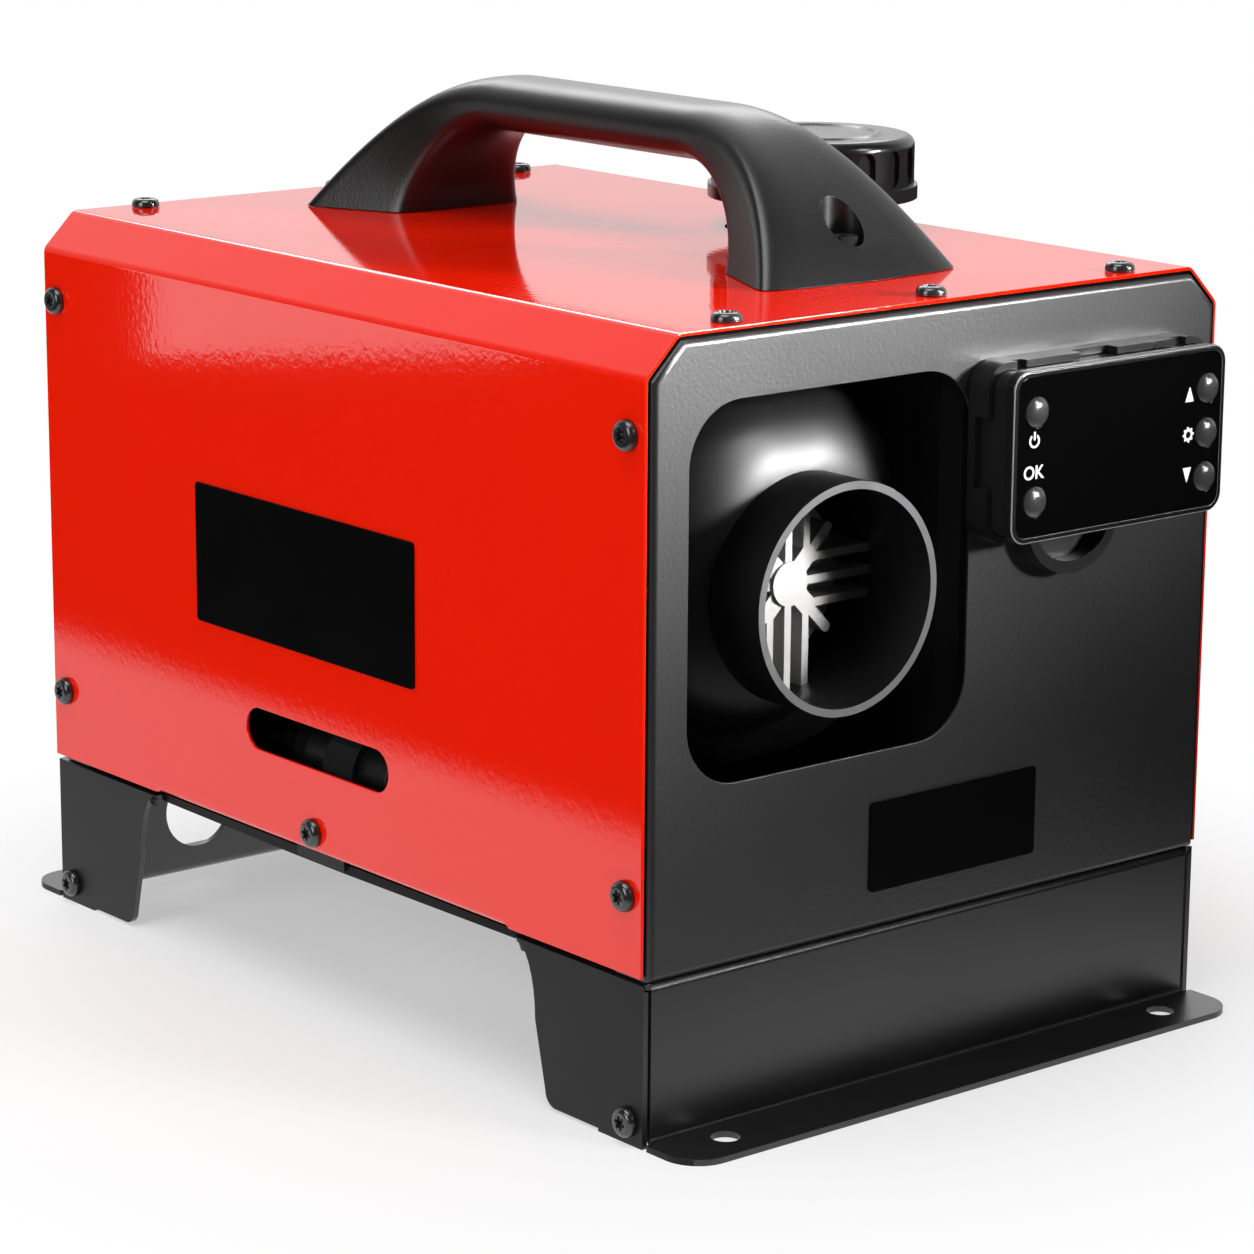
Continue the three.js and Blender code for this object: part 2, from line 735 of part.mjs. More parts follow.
// Outer and inner edge of the bridge at a share of the way from the foot to
// the grip, as (distance from the middle, height), with the half widths there.
function handleStation(share) {
  const fall = 1 - share;
  const outerY = GRIP_HALF + (HANDLE_HALF - GRIP_HALF) * fall;
  const base = BODY_H + FIT;
  const turn = (share * Math.PI) / 2;
  const innerEnd = HANDLE_HALF - FOOT_LENGTH;
  return {
    outer: [outerY, GRIP_TOP - (GRIP_TOP - base) * fall * fall],
    inner: [
      innerEnd - KNUCKLE + KNUCKLE * Math.cos(turn) + (GRIP_HALF + KNUCKLE - innerEnd) * share,
      base + (GRIP_TOP - GRIP_T - base) * Math.sin(turn),
    ],
    outerHalf: GRIP_W / 2 + FOOT_FLARE * fall ** 2.3,
    innerHalf: GRIP_W / 2 + FOOT_INNER_FLARE * fall ** 1.5,
    bulge: FOOT_BULGE * fall ** 3,
    square: THREE.MathUtils.lerp(GRIP_POWER, FOOT_POWER, fall * fall),
  };
}

// One ring of the bridge: a rounded trapezoid between its two edges.
function handleRing(share, end, count) {
  const at = handleStation(share);
  return Array.from({ length: count }, (_, i) => {
    const angle = (2 * Math.PI * i) / count;
    const power = 2 / at.square;
    const across = Math.sign(Math.sin(angle)) * Math.abs(Math.sin(angle)) ** power;
    const along = 0.5 - 0.5 * Math.sign(Math.cos(angle)) * Math.abs(Math.cos(angle)) ** power;
    const half = THREE.MathUtils.lerp(at.outerHalf, at.innerHalf, along);
    const swell = -at.bulge * across * across * (1 - along);
    const y = THREE.MathUtils.lerp(at.outer[0], at.inner[0], along) + swell;
    const z = THREE.MathUtils.lerp(at.outer[1], at.inner[1], along);
    return [across * half, end * y, z];
  });
}

// Closed skin over a row of rings with the same count of points.
function loft(rings) {
  const count = rings[0].length;
  const middle = (ring) => [0, 1, 2].map((k) => ring.reduce((sum, p) => sum + p[k], 0) / count);
  const first = rings.length * count;
  const faces = [];
  for (let r = 0; r + 1 < rings.length; r++)
    for (let i = 0; i < count; i++) {
      const a = r * count + i;
      const b = r * count + ((i + 1) % count);
      faces.push(a, b, b + count, a, b + count, a + count);
    }
  for (let i = 0; i < count; i++) {
    const next = (i + 1) % count;
    const last = (rings.length - 1) * count;
    faces.push(first, next, i, first + 1, last + i, last + next);
  }
  const geometry = new THREE.BufferGeometry();
  const vertices = [...rings.flat(), middle(rings[0]), middle(rings.at(-1))].flat();
  geometry.setAttribute("position", new THREE.Float32BufferAttribute(vertices, 3));
  geometry.setIndex(faces);
  return solid(geometry);
}

// Bridge handle with flared feet, each with a deep hole for its bolt.
function handleBody() {
  const steps = 10;
  const ring = (share, end) => handleRing(share, end, 20);
  const shares = Array.from({ length: steps + 1 }, (_, i) => i / steps);
  const rings = [
    ...shares.map((share) => ring(share, -1)),
    ...shares.toReversed().map((share) => ring(share, 1)),
  ];
  const seat = BODY_H + FIT + BOLT_SEAT;
  const bores = [-1, 1].map((end) =>
    rod("z", [0, end * BOLT_Y], COUNTERBORE_D, seat, GRIP_TOP, 16),
  );
  const holes = [-1, 1].map((end) =>
    rod("z", [0, end * BOLT_Y], BOLT_D + 2 * FIT, BODY_H - PAST, seat + PAST, 8),
  );
  return cut(loft(rings), ...bores, ...holes);
}

// Socket-head bolt with its nut under the cover.
function handleBolt() {
  const shank = BOLT_D / 2;
  const seat = BODY_H + 2 * FIT + BOLT_SEAT;
  const nutTop = BODY_H - COVER_T - FIT;
  return turned(
    [
      [0, seat + BOLT_HEAD_H / 2],
      [BOLT_HEAD_D / 4, seat + BOLT_HEAD_H / 2],
      [BOLT_HEAD_D / 4, seat + BOLT_HEAD_H],
      [BOLT_HEAD_D / 2, seat + BOLT_HEAD_H],
      [BOLT_HEAD_D / 2, seat],
      [shank, seat],
      [shank, nutTop],
      [NUT_D / 2, nutTop],
      [NUT_D / 2, nutTop - NUT_H],
      [0, nutTop - NUT_H],
    ],
    8,
  );
}

function handle() {
  const group = new THREE.Group();
  group.position.set(HANDLE_X, HANDLE_Y, 0);
  group.add(piece("handle", handleBody(), GRAINED_PLASTIC));
  for (const [name, end] of [["front", -1], ["rear", 1]]) {
    const bolt = piece(`handle_bolt_${name}`, handleBolt(), BLACK_STEEL);
    bolt.position.y = end * BOLT_Y;
    group.add(bolt);
  }
  return group;
}

// ---------------------------------------------------------------- heater
// Everything here is modelled about the heater's own axis, which runs along Y.

function caseOutline(inset = 0) {
  return roundedRectangle(0, 0, CASE_HALF_W - inset, CASE_HALF_H - inset, CASE_R - inset);
}

// Rounded front of the hood: a prism whose front edge is drawn in.
function hoodForm(inset, front, back) {
  const round = {
    bevelEnabled: true,
    bevelThickness: HOOD_ROUND,
    bevelSize: HOOD_ROUND,
    bevelOffset: -HOOD_ROUND,
    bevelSegments: 2,
  };
  const form = prism("y", caseOutline(inset), front + HOOD_ROUND, back, round);
  const wide = [-2 * CASE_HALF_W, 2 * CASE_HALF_W];
  const tall = [-2 * CASE_HALF_H, 2 * CASE_HALF_H];
  return cut(form, block(wide, [back, back + 2 * HOOD_ROUND], tall));
}

function outletHood() {
  const collar = COLLAR_D - 2 * COLLAR_WALL;
  const rim = -HALF_L - COLLAR_OUT;
  return cut(
    join(
      hoodForm(0, HOOD_FACE, CASE_FRONT),
      rod("y", [0, 0], COLLAR_D, rim, HOOD_FACE + CASE_WALL / 2, 36),
    ),
    hoodForm(CASE_WALL, HOOD_FACE + CASE_WALL, CASE_FRONT + PAST),
    rod("y", [0, 0], collar, rim - PAST, HOOD_FACE + 2 * CASE_WALL, 36),
  );
}

// One half of the casing, open at both ends; the lower half has a way through
// for the exchanger's foot.
function casingHalf(side) {
  const shell = cut(
    prism("y", caseOutline(), CASE_FRONT + FIT, CASE_BACK),
    prism("y", caseOutline(CASE_WALL), CASE_FRONT - PAST, CASE_BACK + PAST),
  );
  const wide = [-2 * CASE_HALF_W, 2 * CASE_HALF_W];
  const tall = span((side * FIT) / 2, side * 2 * CASE_HALF_H);
  const half = shell.intersect(block(wide, [-HALF_L, HALF_L], tall));
  const foot = block(
    [-FOOT_W / 2 - FIT, FOOT_W / 2 + FIT],
    [FOOT_Y - FOOT_L / 2 - FIT, FOOT_Y + FOOT_L / 2 + FIT],
    [-2 * CASE_HALF_H, CASE_WALL + PAST - CASE_HALF_H],
  );
  return side > 0 ? half : cut(half, foot);
}

// Rear shell of the casing with the round intake and its grille bars.
function intakeGrille() {
  const inner = INTAKE_D - 2 * INTAKE_WALL;
  const barBack = INTAKE_RIM - GRILLE_SET_BACK;
  const shell = cut(
    join(
      prism("y", caseOutline(), CASE_BACK + FIT, GRILLE_BACK),
      rod("y", [0, 0], INTAKE_D, GRILLE_BACK - CASE_WALL / 2, INTAKE_RIM, 32),
    ),
    prism("y", caseOutline(CASE_WALL), CASE_BACK - PAST, GRILLE_BACK - CASE_WALL),
    rod("y", [0, 0], inner, CASE_BACK - PAST, INTAKE_RIM + PAST, 32),
  );
  const bars = Array.from({ length: GRILLE_SPOKES }, (_, i) =>
    block(
      [-inner / 2 - INTAKE_WALL / 2, inner / 2 + INTAKE_WALL / 2],
      [barBack - GRILLE_RIB, barBack],
      [-GRILLE_RIB / 2, GRILLE_RIB / 2],
    ).rotate([0, (180 * i) / GRILLE_SPOKES, 0]),
  );
  const hoops = GRILLE_HOOPS.map((share) =>
    cut(
      rod("y", [0, 0], inner * share + GRILLE_RIB, barBack - GRILLE_RIB, barBack, 16),
      rod("y", [0, 0], inner * share - GRILLE_RIB, barBack - GRILLE_RIB - PAST, barBack + PAST, 16),
    ),
  );
  return join(shell, ...bars, ...hoops);
}

// Cast core with three parallel fins each way, diagonal fins and its foot.
function heatExchanger() {
  const front = HOOD_FACE + FIN_FACE;
  const back = front + EXCHANGER_L;
  const finY = [front, back - FIN_SHORT];
  const long = [-FIN_REACH, FIN_REACH];
  const bars = [-1, 0, 1].flatMap((k) => {
    const thin = [k * FIN_PITCH - FIN_T / 2, k * FIN_PITCH + FIN_T / 2];
    return [block(thin, finY, long), block(long, finY, thin)];
  });
  const diagonals = [45, 135].map((angle) =>
    block(long, finY, [-FIN_T / 2, FIN_T / 2]).rotate([0, angle, 0]),
  );
  const foot = block(
    [-FOOT_W / 2, FOOT_W / 2],
    [FOOT_Y - FOOT_L / 2, FOOT_Y + FOOT_L / 2],
    [FIT - CASE_HALF_H - FOOT_DROP, -CORE_D / 4],
  );
  return join(
    rod("y", [0, 0], CORE_D, front + FIN_STEP, back, 24),
    rod("y", [0, 0], HUB_D, front - HUB_PROUD, front + FIN_STEP + HUB_PROUD, 16),
    ...bars,
    ...diagonals,
    foot,
  );
}

function motor() {
  const reach = CASE_HALF_W - CASE_WALL - FIT;
  const middle = (MOTOR_FRONT + MOTOR_BACK) / 2;
  const arm = [-SPIDER_W / 2, SPIDER_W / 2];
  const spider = block([-reach, reach], [middle, middle + SPIDER_T], arm);
  return cut(
    join(rod("y", [0, 0], MOTOR_D, MOTOR_FRONT, MOTOR_BACK, 20), spider),
    rod("y", [0, 0], SHAFT_D + 2 * FIT, MOTOR_FRONT - PAST, MOTOR_BACK + PAST, 10),
  );
}

function fanShaft() {
  return rod("y", [0, 0], SHAFT_D, WHEEL_BACK - SHAFT_LENGTH, WHEEL_BACK, 10);
}

// Disc with radial blades and a hub that the shaft passes through.
function fanWheel(d, height, blades, back) {
  const hub = SHAFT_D + 2 * HUB_WALL;
  const length = [hub / 2 - BLADE_T, d / 2];
  const blade = block(length, [back - height, back - DISC_T / 2], [-BLADE_T / 2, BLADE_T / 2]);
  return cut(
    join(
      rod("y", [0, 0], d, back - DISC_T, back, 24),
      rod("y", [0, 0], hub, back - height, back, 12),
      ...Array.from({ length: blades }, (_, i) => blade.rotate([0, (360 * i) / blades, 0])),
    ),
    rod("y", [0, 0], SHAFT_D + 2 * FIT, back - height - PAST, back + PAST, 10),
  );
}

// Board under the casing's roof, its tall parts against the roof.
function controlBoard() {
  const roof = CASE_HALF_H - CASE_WALL - FIT;
  const face = roof - BOARD_PART_H;
  const x = BOARD_W / 2;
  const y = BOARD_L / 2;
  const tall = [face - BOARD_T / 2, roof];
  return join(
    block([-x, x], [BOARD_Y - y, BOARD_Y + y], [face - BOARD_T, face]),
    block([-x * 0.78, -x * 0.15], [BOARD_Y - y * 0.8, BOARD_Y - y * 0.08], tall),
    block([x * 0.11, x * 0.7], [BOARD_Y + y * 0.08, BOARD_Y + y * 0.75], tall),
    block([x * 0.18, x * 0.56], [BOARD_Y - y * 0.83, BOARD_Y - y * 0.33], tall),
  );
}

function heater() {
  const group = new THREE.Group();
  group.position.set(HEATER_X, 0, HEATER_Z);
  group.add(
    piece("outlet_hood", outletHood(), CASE_PLASTIC),
    piece("heater_case_lower", casingHalf(-1), CASE_PLASTIC),
    piece("heater_case_upper", casingHalf(1), CASE_PLASTIC),
    piece("intake_grille", intakeGrille(), CASE_PLASTIC),
    piece("heat_exchanger", heatExchanger(), CAST_ALUMINIUM),
    piece("blower_motor", motor(), ZINC_STEEL),
    piece("fan_shaft", fanShaft(), ZINC_STEEL),
    piece("blower_wheel", fanWheel(WHEEL_D, WHEEL_H, WHEEL_BLADES, WHEEL_BACK), CASE_PLASTIC),
    piece("combustion_impeller", fanWheel(IMPELLER_D, IMPELLER_H, WHEEL_BLADES, IMPELLER_BACK), CASE_PLASTIC),
    piece("control_board", controlBoard(), BOARD_GREEN),
  );
  return group;
}

// -------------------------------------------------------- stand and pipes

// Hat-section channel between the deck and the exchanger's foot.
function heaterStand() {
  const w = STAND_W / 2;
  const t = STAND_T;
  const floor = DECK_Z + FIT;
  const out = w + STAND_FOOT;
  const section = points(
    [-out, floor], [-w + t, floor], [-w + t, STAND_TOP - t], [w - t, STAND_TOP - t],
    [w - t, floor], [out, floor], [out, floor + t], [w, floor + t],
    [w, STAND_TOP], [-w, STAND_TOP], [-w, floor + t], [-out, floor + t],
  );
  const through = [STAND_TOP - STAND_T - PAST, STAND_TOP + PAST];
  const holes = [-1, 1].map((side) =>
    rod("z", [side * PIPE_SPREAD, FOOT_Y], PIPE_D + 4 * FIT, ...through, 16),
  );
  return cut(prism("y", section, FOOT_Y - STAND_L / 2, FOOT_Y + STAND_L / 2), ...holes);
}

// Pipe from the exchanger's foot through the deck, turning to the rear.
function flowPipe() {
  const path = new THREE.CurvePath();
  const corner = new THREE.Vector3(0, 0, PIPE_Z);
  const above = new THREE.Vector3(0, 0, PIPE_Z + PIPE_BEND);
  const behind = new THREE.Vector3(0, PIPE_BEND, PIPE_Z);
  path.add(new THREE.LineCurve3(new THREE.Vector3(0, 0, STAND_TOP), above));
  path.add(new THREE.QuadraticBezierCurve3(above, corner, behind));
  path.add(new THREE.LineCurve3(behind, new THREE.Vector3(0, PIPE_END, PIPE_Z)));
  return tube(path, PIPE_D, 12, 12, PIPE_D - 2 * PIPE_WALL);
}

function standAndPipes() {
  const group = new THREE.Group();
  group.position.x = HEATER_X;
  group.add(piece("heater_stand", heaterStand(), BLACK_STEEL));
  for (const [name, side, look] of [
    ["exhaust_pipe", -1, EXHAUST_STEEL],
    ["air_intake_pipe", 1, RUBBER],
  ]) {
    const pipe = piece(name, flowPipe(), look);
    pipe.position.set(side * PIPE_SPREAD, FOOT_Y, 0);
    group.add(pipe);
  }
  return group;
}

// -------------------------------------------------------------- fuel tank

const TANK_X0 = HEATER_X + CASE_HALF_W + TANK_GAP;
const TANK_X1 = HALF_W - COVER_T - COVER_HEM - TANK_SIDE_GAP;
const TANK_Y1 = PANEL_Y - PANEL_RETURN - TANK_END_GAP;
const TANK_Z0 = DECK_Z + FIT;
const TANK_Z1 = BODY_H - TANK_TOP_GAP;
const TANK_OUTLET_Z = DECK_Z + TANK_OUTLET_OVER_DECK;

function tankForm(inset) {
  const outline = roundedRectangle(
    (TANK_X0 + TANK_X1) / 2,
    0,
    (TANK_X1 - TANK_X0) / 2 - inset,
    TANK_Y1 - inset,
    TANK_R - inset,
    3,
  );
  return prism("z", outline, TANK_Z0 + inset, TANK_Z1 - inset);
}

function fuelTank() {
  const at = [FILLER_X, FILLER_Y];
  const outlet = [TANK_OUTLET_Y, TANK_OUTLET_Z];
  const end = TANK_X0 - NIPPLE_L;
  return cut(
    join(
      tankForm(0),
      rod("z", at, NECK_D, TANK_Z1 - TANK_WALL / 2, NECK_Z),
      rod("x", outlet, NIPPLE_D, end, TANK_X0 + TANK_WALL / 2, 12),
    ),
    tankForm(TANK_WALL),
    rod("z", at, NECK_D - 2 * NECK_WALL, TANK_Z1 - 2 * TANK_WALL, NECK_Z + PAST),
    rod("x", outlet, NIPPLE_D / 2, end - PAST, TANK_X0 + 2 * TANK_WALL, 8),
  );
}

// Stadium-shaped flute cut into the cap's side at +X.
function flute() {
  const middle = CAP_BRIM_H + FLUTE_OVER_BRIM + FLUTE_H / 2;
  const outline = roundedRectangle(0, middle, FLUTE_W / 2, FLUTE_H / 2, FLUTE_R, 2);
  return prism("x", outline, CAP_D / 2 - FLUTE_DEPTH, CAP_D);
}

function fillerCap() {
  const r = CAP_D / 2;
  const brim = CAP_BRIM_D / 2;
  const bore = NECK_D / 2 + 2 * FIT;
  const ceiling = NECK_Z - CAP_Z + GASKET_T + 2 * FIT;
  const body = turned(
    [
      [bore, 0], [brim, 0], [brim, CAP_BRIM_H], [r, CAP_BRIM_H], [r, CAP_H - CAP_ROUND],
      [r - CAP_ROUND * 0.3, CAP_H - CAP_ROUND * 0.3], [r - CAP_ROUND, CAP_H],
      [CAP_RING_D / 2, CAP_H], [CAP_RING_D / 2 - CAP_RING_H, CAP_H + CAP_RING_H],
      [0, CAP_H + CAP_RING_H], [0, ceiling], [bore, ceiling],
    ],
    36,
  );
  const flutes = Array.from({ length: CAP_FLUTES }, (_, i) =>
    flute().rotate([0, 0, (360 * i) / CAP_FLUTES]),
  );
  return cut(body, ...flutes);
}

function capGasket() {
  const outer = NECK_D / 2 - FIT;
  const inner = outer - GASKET_WALL;
  return turned([[inner, 0], [outer, 0], [outer, GASKET_T], [inner, GASKET_T]], 20);
}

function filler() {
  const group = new THREE.Group();
  group.position.set(FILLER_X, FILLER_Y, 0);
  const cap = piece("filler_cap", fillerCap(), GLOSS_PLASTIC);
  cap.position.z = CAP_Z;
  const gasket = piece("cap_gasket", capGasket(), RUBBER);
  gasket.position.z = NECK_Z + FIT;
  group.add(cap, gasket);
  return group;
}

// ----------------------------------------------------- fuel pump and lines

// Solenoid pump along Y with a nipple at each end.
function fuelPump() {
  const half = PUMP_L / 2;
  return join(
    rod("y", [0, 0], PUMP_D, -half * PUMP_COIL, half * PUMP_COIL, 16),
    rod("y", [0, 0], PUMP_END_D, -half, half, 12),
    rod("y", [0, 0], NIPPLE_D, -half - NIPPLE_L, half + NIPPLE_L, 8),
  );
}

// Rubber-lined clip: a ring round the pump and a foot on the deck.
function pumpClamp() {
  const inner = PUMP_D + 2 * FIT;
  const outer = inner + 2 * CLAMP_T;
  const foot = DECK_Z + FIT - PUMP_Z;
  return cut(
    join(
      rod("y", [0, 0], outer, -CLAMP_W / 2, CLAMP_W / 2, 18),
      block([-CLAMP_T, CLAMP_T], [-CLAMP_W / 2, CLAMP_W / 2], [foot, -PUMP_D / 2]),
      block([-CLAMP_FOOT, CLAMP_FOOT], [-CLAMP_W / 2, CLAMP_W / 2], [foot, foot + CLAMP_T]),
    ),
    rod("y", [0, 0], inner, -CLAMP_W, CLAMP_W, 18),
  );
}

function curveThrough(...places) {
  return new THREE.CatmullRomCurve3(places.map((p) => new THREE.Vector3(...p)), false, "centripetal");
}

// Suction line from the tank's outlet to the rear of the pump.
function tankLine() {
  const y = PUMP_Y + PUMP_L / 2 + NIPPLE_L + FIT;
  const x = TANK_X0 - NIPPLE_L - FIT;
  const bend = LINE_BEND;
  const route = curveThrough(
    [x, TANK_OUTLET_Y, TANK_OUTLET_Z],
    [x - bend, TANK_OUTLET_Y, TANK_OUTLET_Z],
    [HEATER_X, TANK_OUTLET_Y + LINE_D, TANK_OUTLET_Z],
    [PUMP_X + bend, TANK_OUTLET_Y, (TANK_OUTLET_Z + PUMP_Z) / 2],
    [PUMP_X, y + bend / 2, PUMP_Z],
    [PUMP_X, y, PUMP_Z],
  );
  return tube(route, LINE_D, 18, 8);
}

// Pressure line from the front of the pump to the exchanger's foot.
function heaterLine() {
  const y = PUMP_Y - PUMP_L / 2 - NIPPLE_L - FIT;
  const x = HEATER_X - FOOT_W / 2 - FIT;
  const z = STAND_TOP + FOOT_DROP / 2;
  const d = FOOT_DROP - 4 * FIT;
  const bend = LINE_BEND / 2;
  const route = curveThrough(
    [PUMP_X, y, PUMP_Z],
    [PUMP_X, y - bend, PUMP_Z],
    [PUMP_X + bend / 4, y - bend * 1.5, (PUMP_Z + 2 * z) / 3],
    [x - bend, y - bend, z],
    [x, y - bend, z],
  );
  return tube(route, d, 14, 8);
}

function fuelSystem() {
  const group = new THREE.Group();
  const pump = new THREE.Group();
  pump.position.set(PUMP_X, PUMP_Y, PUMP_Z);
  pump.add(
    piece("fuel_pump", fuelPump(), ZINC_STEEL),
    piece("pump_clamp", pumpClamp(), RUBBER),
  );
  group.add(
    piece("fuel_tank", fuelTank(), TANK_PLASTIC),
    piece("fuel_line_tank", tankLine(), FUEL_HOSE),
    piece("fuel_line_heater", heaterLine(), FUEL_HOSE),
    pump,
    filler(),
  );
  return group;
}

// ------------------------------------------------------------- controller
// Modelled about its own middle; y = 0 is the front face of the panel.

const SHELL_FRONT = BEZEL_T + FIT - DISPLAY_OUT;
const SHELL_BACK = -CRADLE_T - 2 * FIT;
const GLASS_BACK = BEZEL_T - BEZEL_LIP - FIT - DISPLAY_OUT;
const PCB_FRONT = SHELL_FRONT + PCB_BACK;

function cableHole() {
  return rod("y", [0, 0], CABLE_HOLE_D, -DISPLAY_OUT / 2, PAST, 10);
}

// Plate on the panel with clips round its edge and a loop under it.
function displayCradle() {
  const w = CRADLE_W / 2;
  const h = CRADLE_H / 2;
  const y = [-CRADLE_T - FIT, -FIT];
  const clipY = [-CRADLE_T - FIT - CRADLE_TAB_L, -FIT];
  const shellH = DISPLAY_H / 2 - SHELL_INSET;
  const shellW = DISPLAY_W / 2 - SHELL_INSET;
  const clips = [-1, 1].flatMap((side) => {
    const tab = [-CRADLE_TAB_W / 2, CRADLE_TAB_W / 2];
    const along = tab.map((place) => place + (side * w) / 2);
    const top = shellH + FIT;
    const beside = shellW + FIT;
    return [
      block(along, clipY, [top, top + CRADLE_TAB_T]),
      block(along, y, [h - PAST, top + CRADLE_TAB_T]),
      block(span(side * beside, side * (beside + CRADLE_TAB_T)), clipY, tab),
      block(span(side * (w - PAST), side * (beside + CRADLE_TAB_T)), y, tab),
    ];
  });
  const loopH = (LOOP_DROP + LOOP_BAR) / 2;
  const loopZ = loopH - h - LOOP_DROP;
  const bar = (inset) =>
    roundedRectangle(LOOP_X, loopZ, LOOP_W / 2 - inset, loopH - inset, LOOP_R - inset);
  const loop = cut(prism("y", bar(0), ...y), prism("y", bar(LOOP_BAR), y[0] - PAST, PAST));
  const plate = prism("y", roundedRectangle(0, 0, w, h, CRADLE_R, 3), ...y);
  return cut(join(plate, ...clips, loop), cableHole());
}

// Tray that is open to the front, with posts for its board.
function displayShell() {
  const w = DISPLAY_W / 2 - SHELL_INSET;
  const h = DISPLAY_H / 2 - SHELL_INSET;
  const r = DISPLAY_R - SHELL_INSET;
  const tray = cut(
    prism("y", roundedRectangle(0, 0, w, h, r), SHELL_FRONT, SHELL_BACK),
    prism(
      "y",
      roundedRectangle(0, 0, w - SHELL_WALL, h - SHELL_WALL, r - SHELL_WALL),
      SHELL_FRONT - PAST,
      SHELL_BACK - SHELL_WALL,
    ),
  );
  const postY = [PCB_FRONT + BOARD_T + FIT, SHELL_BACK - SHELL_WALL / 2];
  const posts = [-1, 1].flatMap((x) =>
    [-1, 1].map((z) => rod("y", [x * (w - POST_IN), z * (h - POST_IN)], POST_D, ...postY, 8)),
  );
  return cut(join(tray, ...posts), cableHole());
}

function displayBoard() {
  const w = DISPLAY_W / 2 - SHELL_INSET - SHELL_WALL - FIT;
  const h = DISPLAY_H / 2 - SHELL_INSET - SHELL_WALL - FIT;
  return prism("y", roundedRectangle(0, 0, w, h, SHELL_WALL, 2), PCB_FRONT, PCB_FRONT + BOARD_T);
}

// Frame with a bevelled edge, a pocket for the glass and a lip behind it.
function displayBezel() {
  const w = DISPLAY_W / 2;
  const h = DISPLAY_H / 2;
  const front = -DISPLAY_OUT;
  const back = front + BEZEL_T;
  const outline = (inset) => roundedRectangle(0, 0, w - inset, h - inset, DISPLAY_R - inset);
  return cut(
    prism("y", outline(0), front, back),
    prism("y", outline(BEZEL_RIM), front - PAST, GLASS_BACK + FIT),
    prism("y", outline(BEZEL_RIM + BEZEL_LIP), front - PAST, back + PAST),
  );
}

function buttonPlaces() {
  return [
    ["button_power", LEFT_BUTTON_X, LEFT_BUTTON_Z],
    ["button_ok", LEFT_BUTTON_X, -LEFT_BUTTON_Z],
    ["button_up", RIGHT_BUTTON_X, RIGHT_BUTTON_Z + BUTTON_PITCH],
    ["button_settings", RIGHT_BUTTON_X, RIGHT_BUTTON_Z],
    ["button_down", RIGHT_BUTTON_X, RIGHT_BUTTON_Z - BUTTON_PITCH],
  ];
}

function displayGlass() {
  const inset = BEZEL_RIM + FIT;
  const w = DISPLAY_W / 2 - inset;
  const h = DISPLAY_H / 2 - inset;
  const holes = buttonPlaces().map(([, x, z]) =>
    rod("y", [x, z], BUTTON_D + 2 * BUTTON_GAP, -DISPLAY_OUT - PAST, 0, 12),
  );
  const outline = roundedRectangle(0, 0, w, h, DISPLAY_R - inset);
  return cut(prism("y", outline, GLASS_BACK - GLASS_T, GLASS_BACK), ...holes);
}

// Domed cap and stem, pointing to +Z with the cap's edge at zero.
function buttonSolid() {
  const r = BUTTON_D / 2;
  const stem = BUTTON_STEM_D / 2;
  const back = PCB_FRONT - BUTTON_TRAVEL - FIT + DISPLAY_OUT;
  return turned(
    [
      [0, BUTTON_PROUD], [r * 0.7, BUTTON_PROUD * 0.65], [r, 0],
      [r, -GLASS_T], [stem, -GLASS_T], [stem, -back], [0, -back],
    ],
    12,
  );
}

function controller() {
  const group = new THREE.Group();
  group.position.set(DISPLAY_X, -FRONT_Y, DISPLAY_Z);
  group.add(
    piece("display_cradle", displayCradle(), CASE_PLASTIC),
    piece("display_shell", displayShell(), CASE_PLASTIC),
    piece("display_board", displayBoard(), BOARD_GREEN),
    piece("display_bezel", displayBezel(), GLOSS_PLASTIC),
    piece("display_glass", displayGlass(), GLASS),
  );
  for (const [name, x, z] of buttonPlaces()) {
    const button = piece(name, buttonSolid(), GLOSS_PLASTIC);
    button.rotation.x = Math.PI / 2;
    button.position.set(x, -DISPLAY_OUT, z);
    group.add(button);
  }
  return group;
}

// --------------------------------------------------------- labels, gland

function sideLabel() {
  const x = -HALF_W - LABEL_GAP;
  const z = BODY_H - SIDE_LABEL_FROM_TOP;
  const outline = roundedRectangle(SIDE_LABEL_Y, z, SIDE_LABEL_L / 2, SIDE_LABEL_H / 2, LABEL_R, 2);
  return prism("x", outline, x - LABEL_T, x);
}

function frontLabel() {
  const y = -FRONT_Y - LABEL_GAP;
  const z = DECK_Z + FRONT_LABEL_OVER_DECK;
  const w = FRONT_LABEL_L / 2;
  const outline = roundedRectangle(FRONT_LABEL_X, z, w, FRONT_LABEL_H / 2, LABEL_R, 2);
  return prism("y", outline, y - LABEL_T, y);
}

// Gland body outside the rear panel and its nut inside, with a bore.
function cableGland() {
  const thread = GLAND_THREAD_D / 2;
  const bore = GLAND_BORE_D / 2;
  const r = GLAND_D / 2;
  const inside = -PANEL_T - FIT;
  return turned(
    [
      [bore, GLAND_OUT], [r * 0.7, GLAND_OUT], [r * 0.85, GLAND_OUT * 0.75], [r * 0.85, GLAND_OUT * 0.35],
      [r, GLAND_OUT * 0.3], [r, FIT], [thread, FIT], [thread, inside], [r, inside],
      [r, inside - GLAND_NUT], [bore, inside - GLAND_NUT],
    ],
    12,
  );
}

// --------------------------------------------------------------- assembly

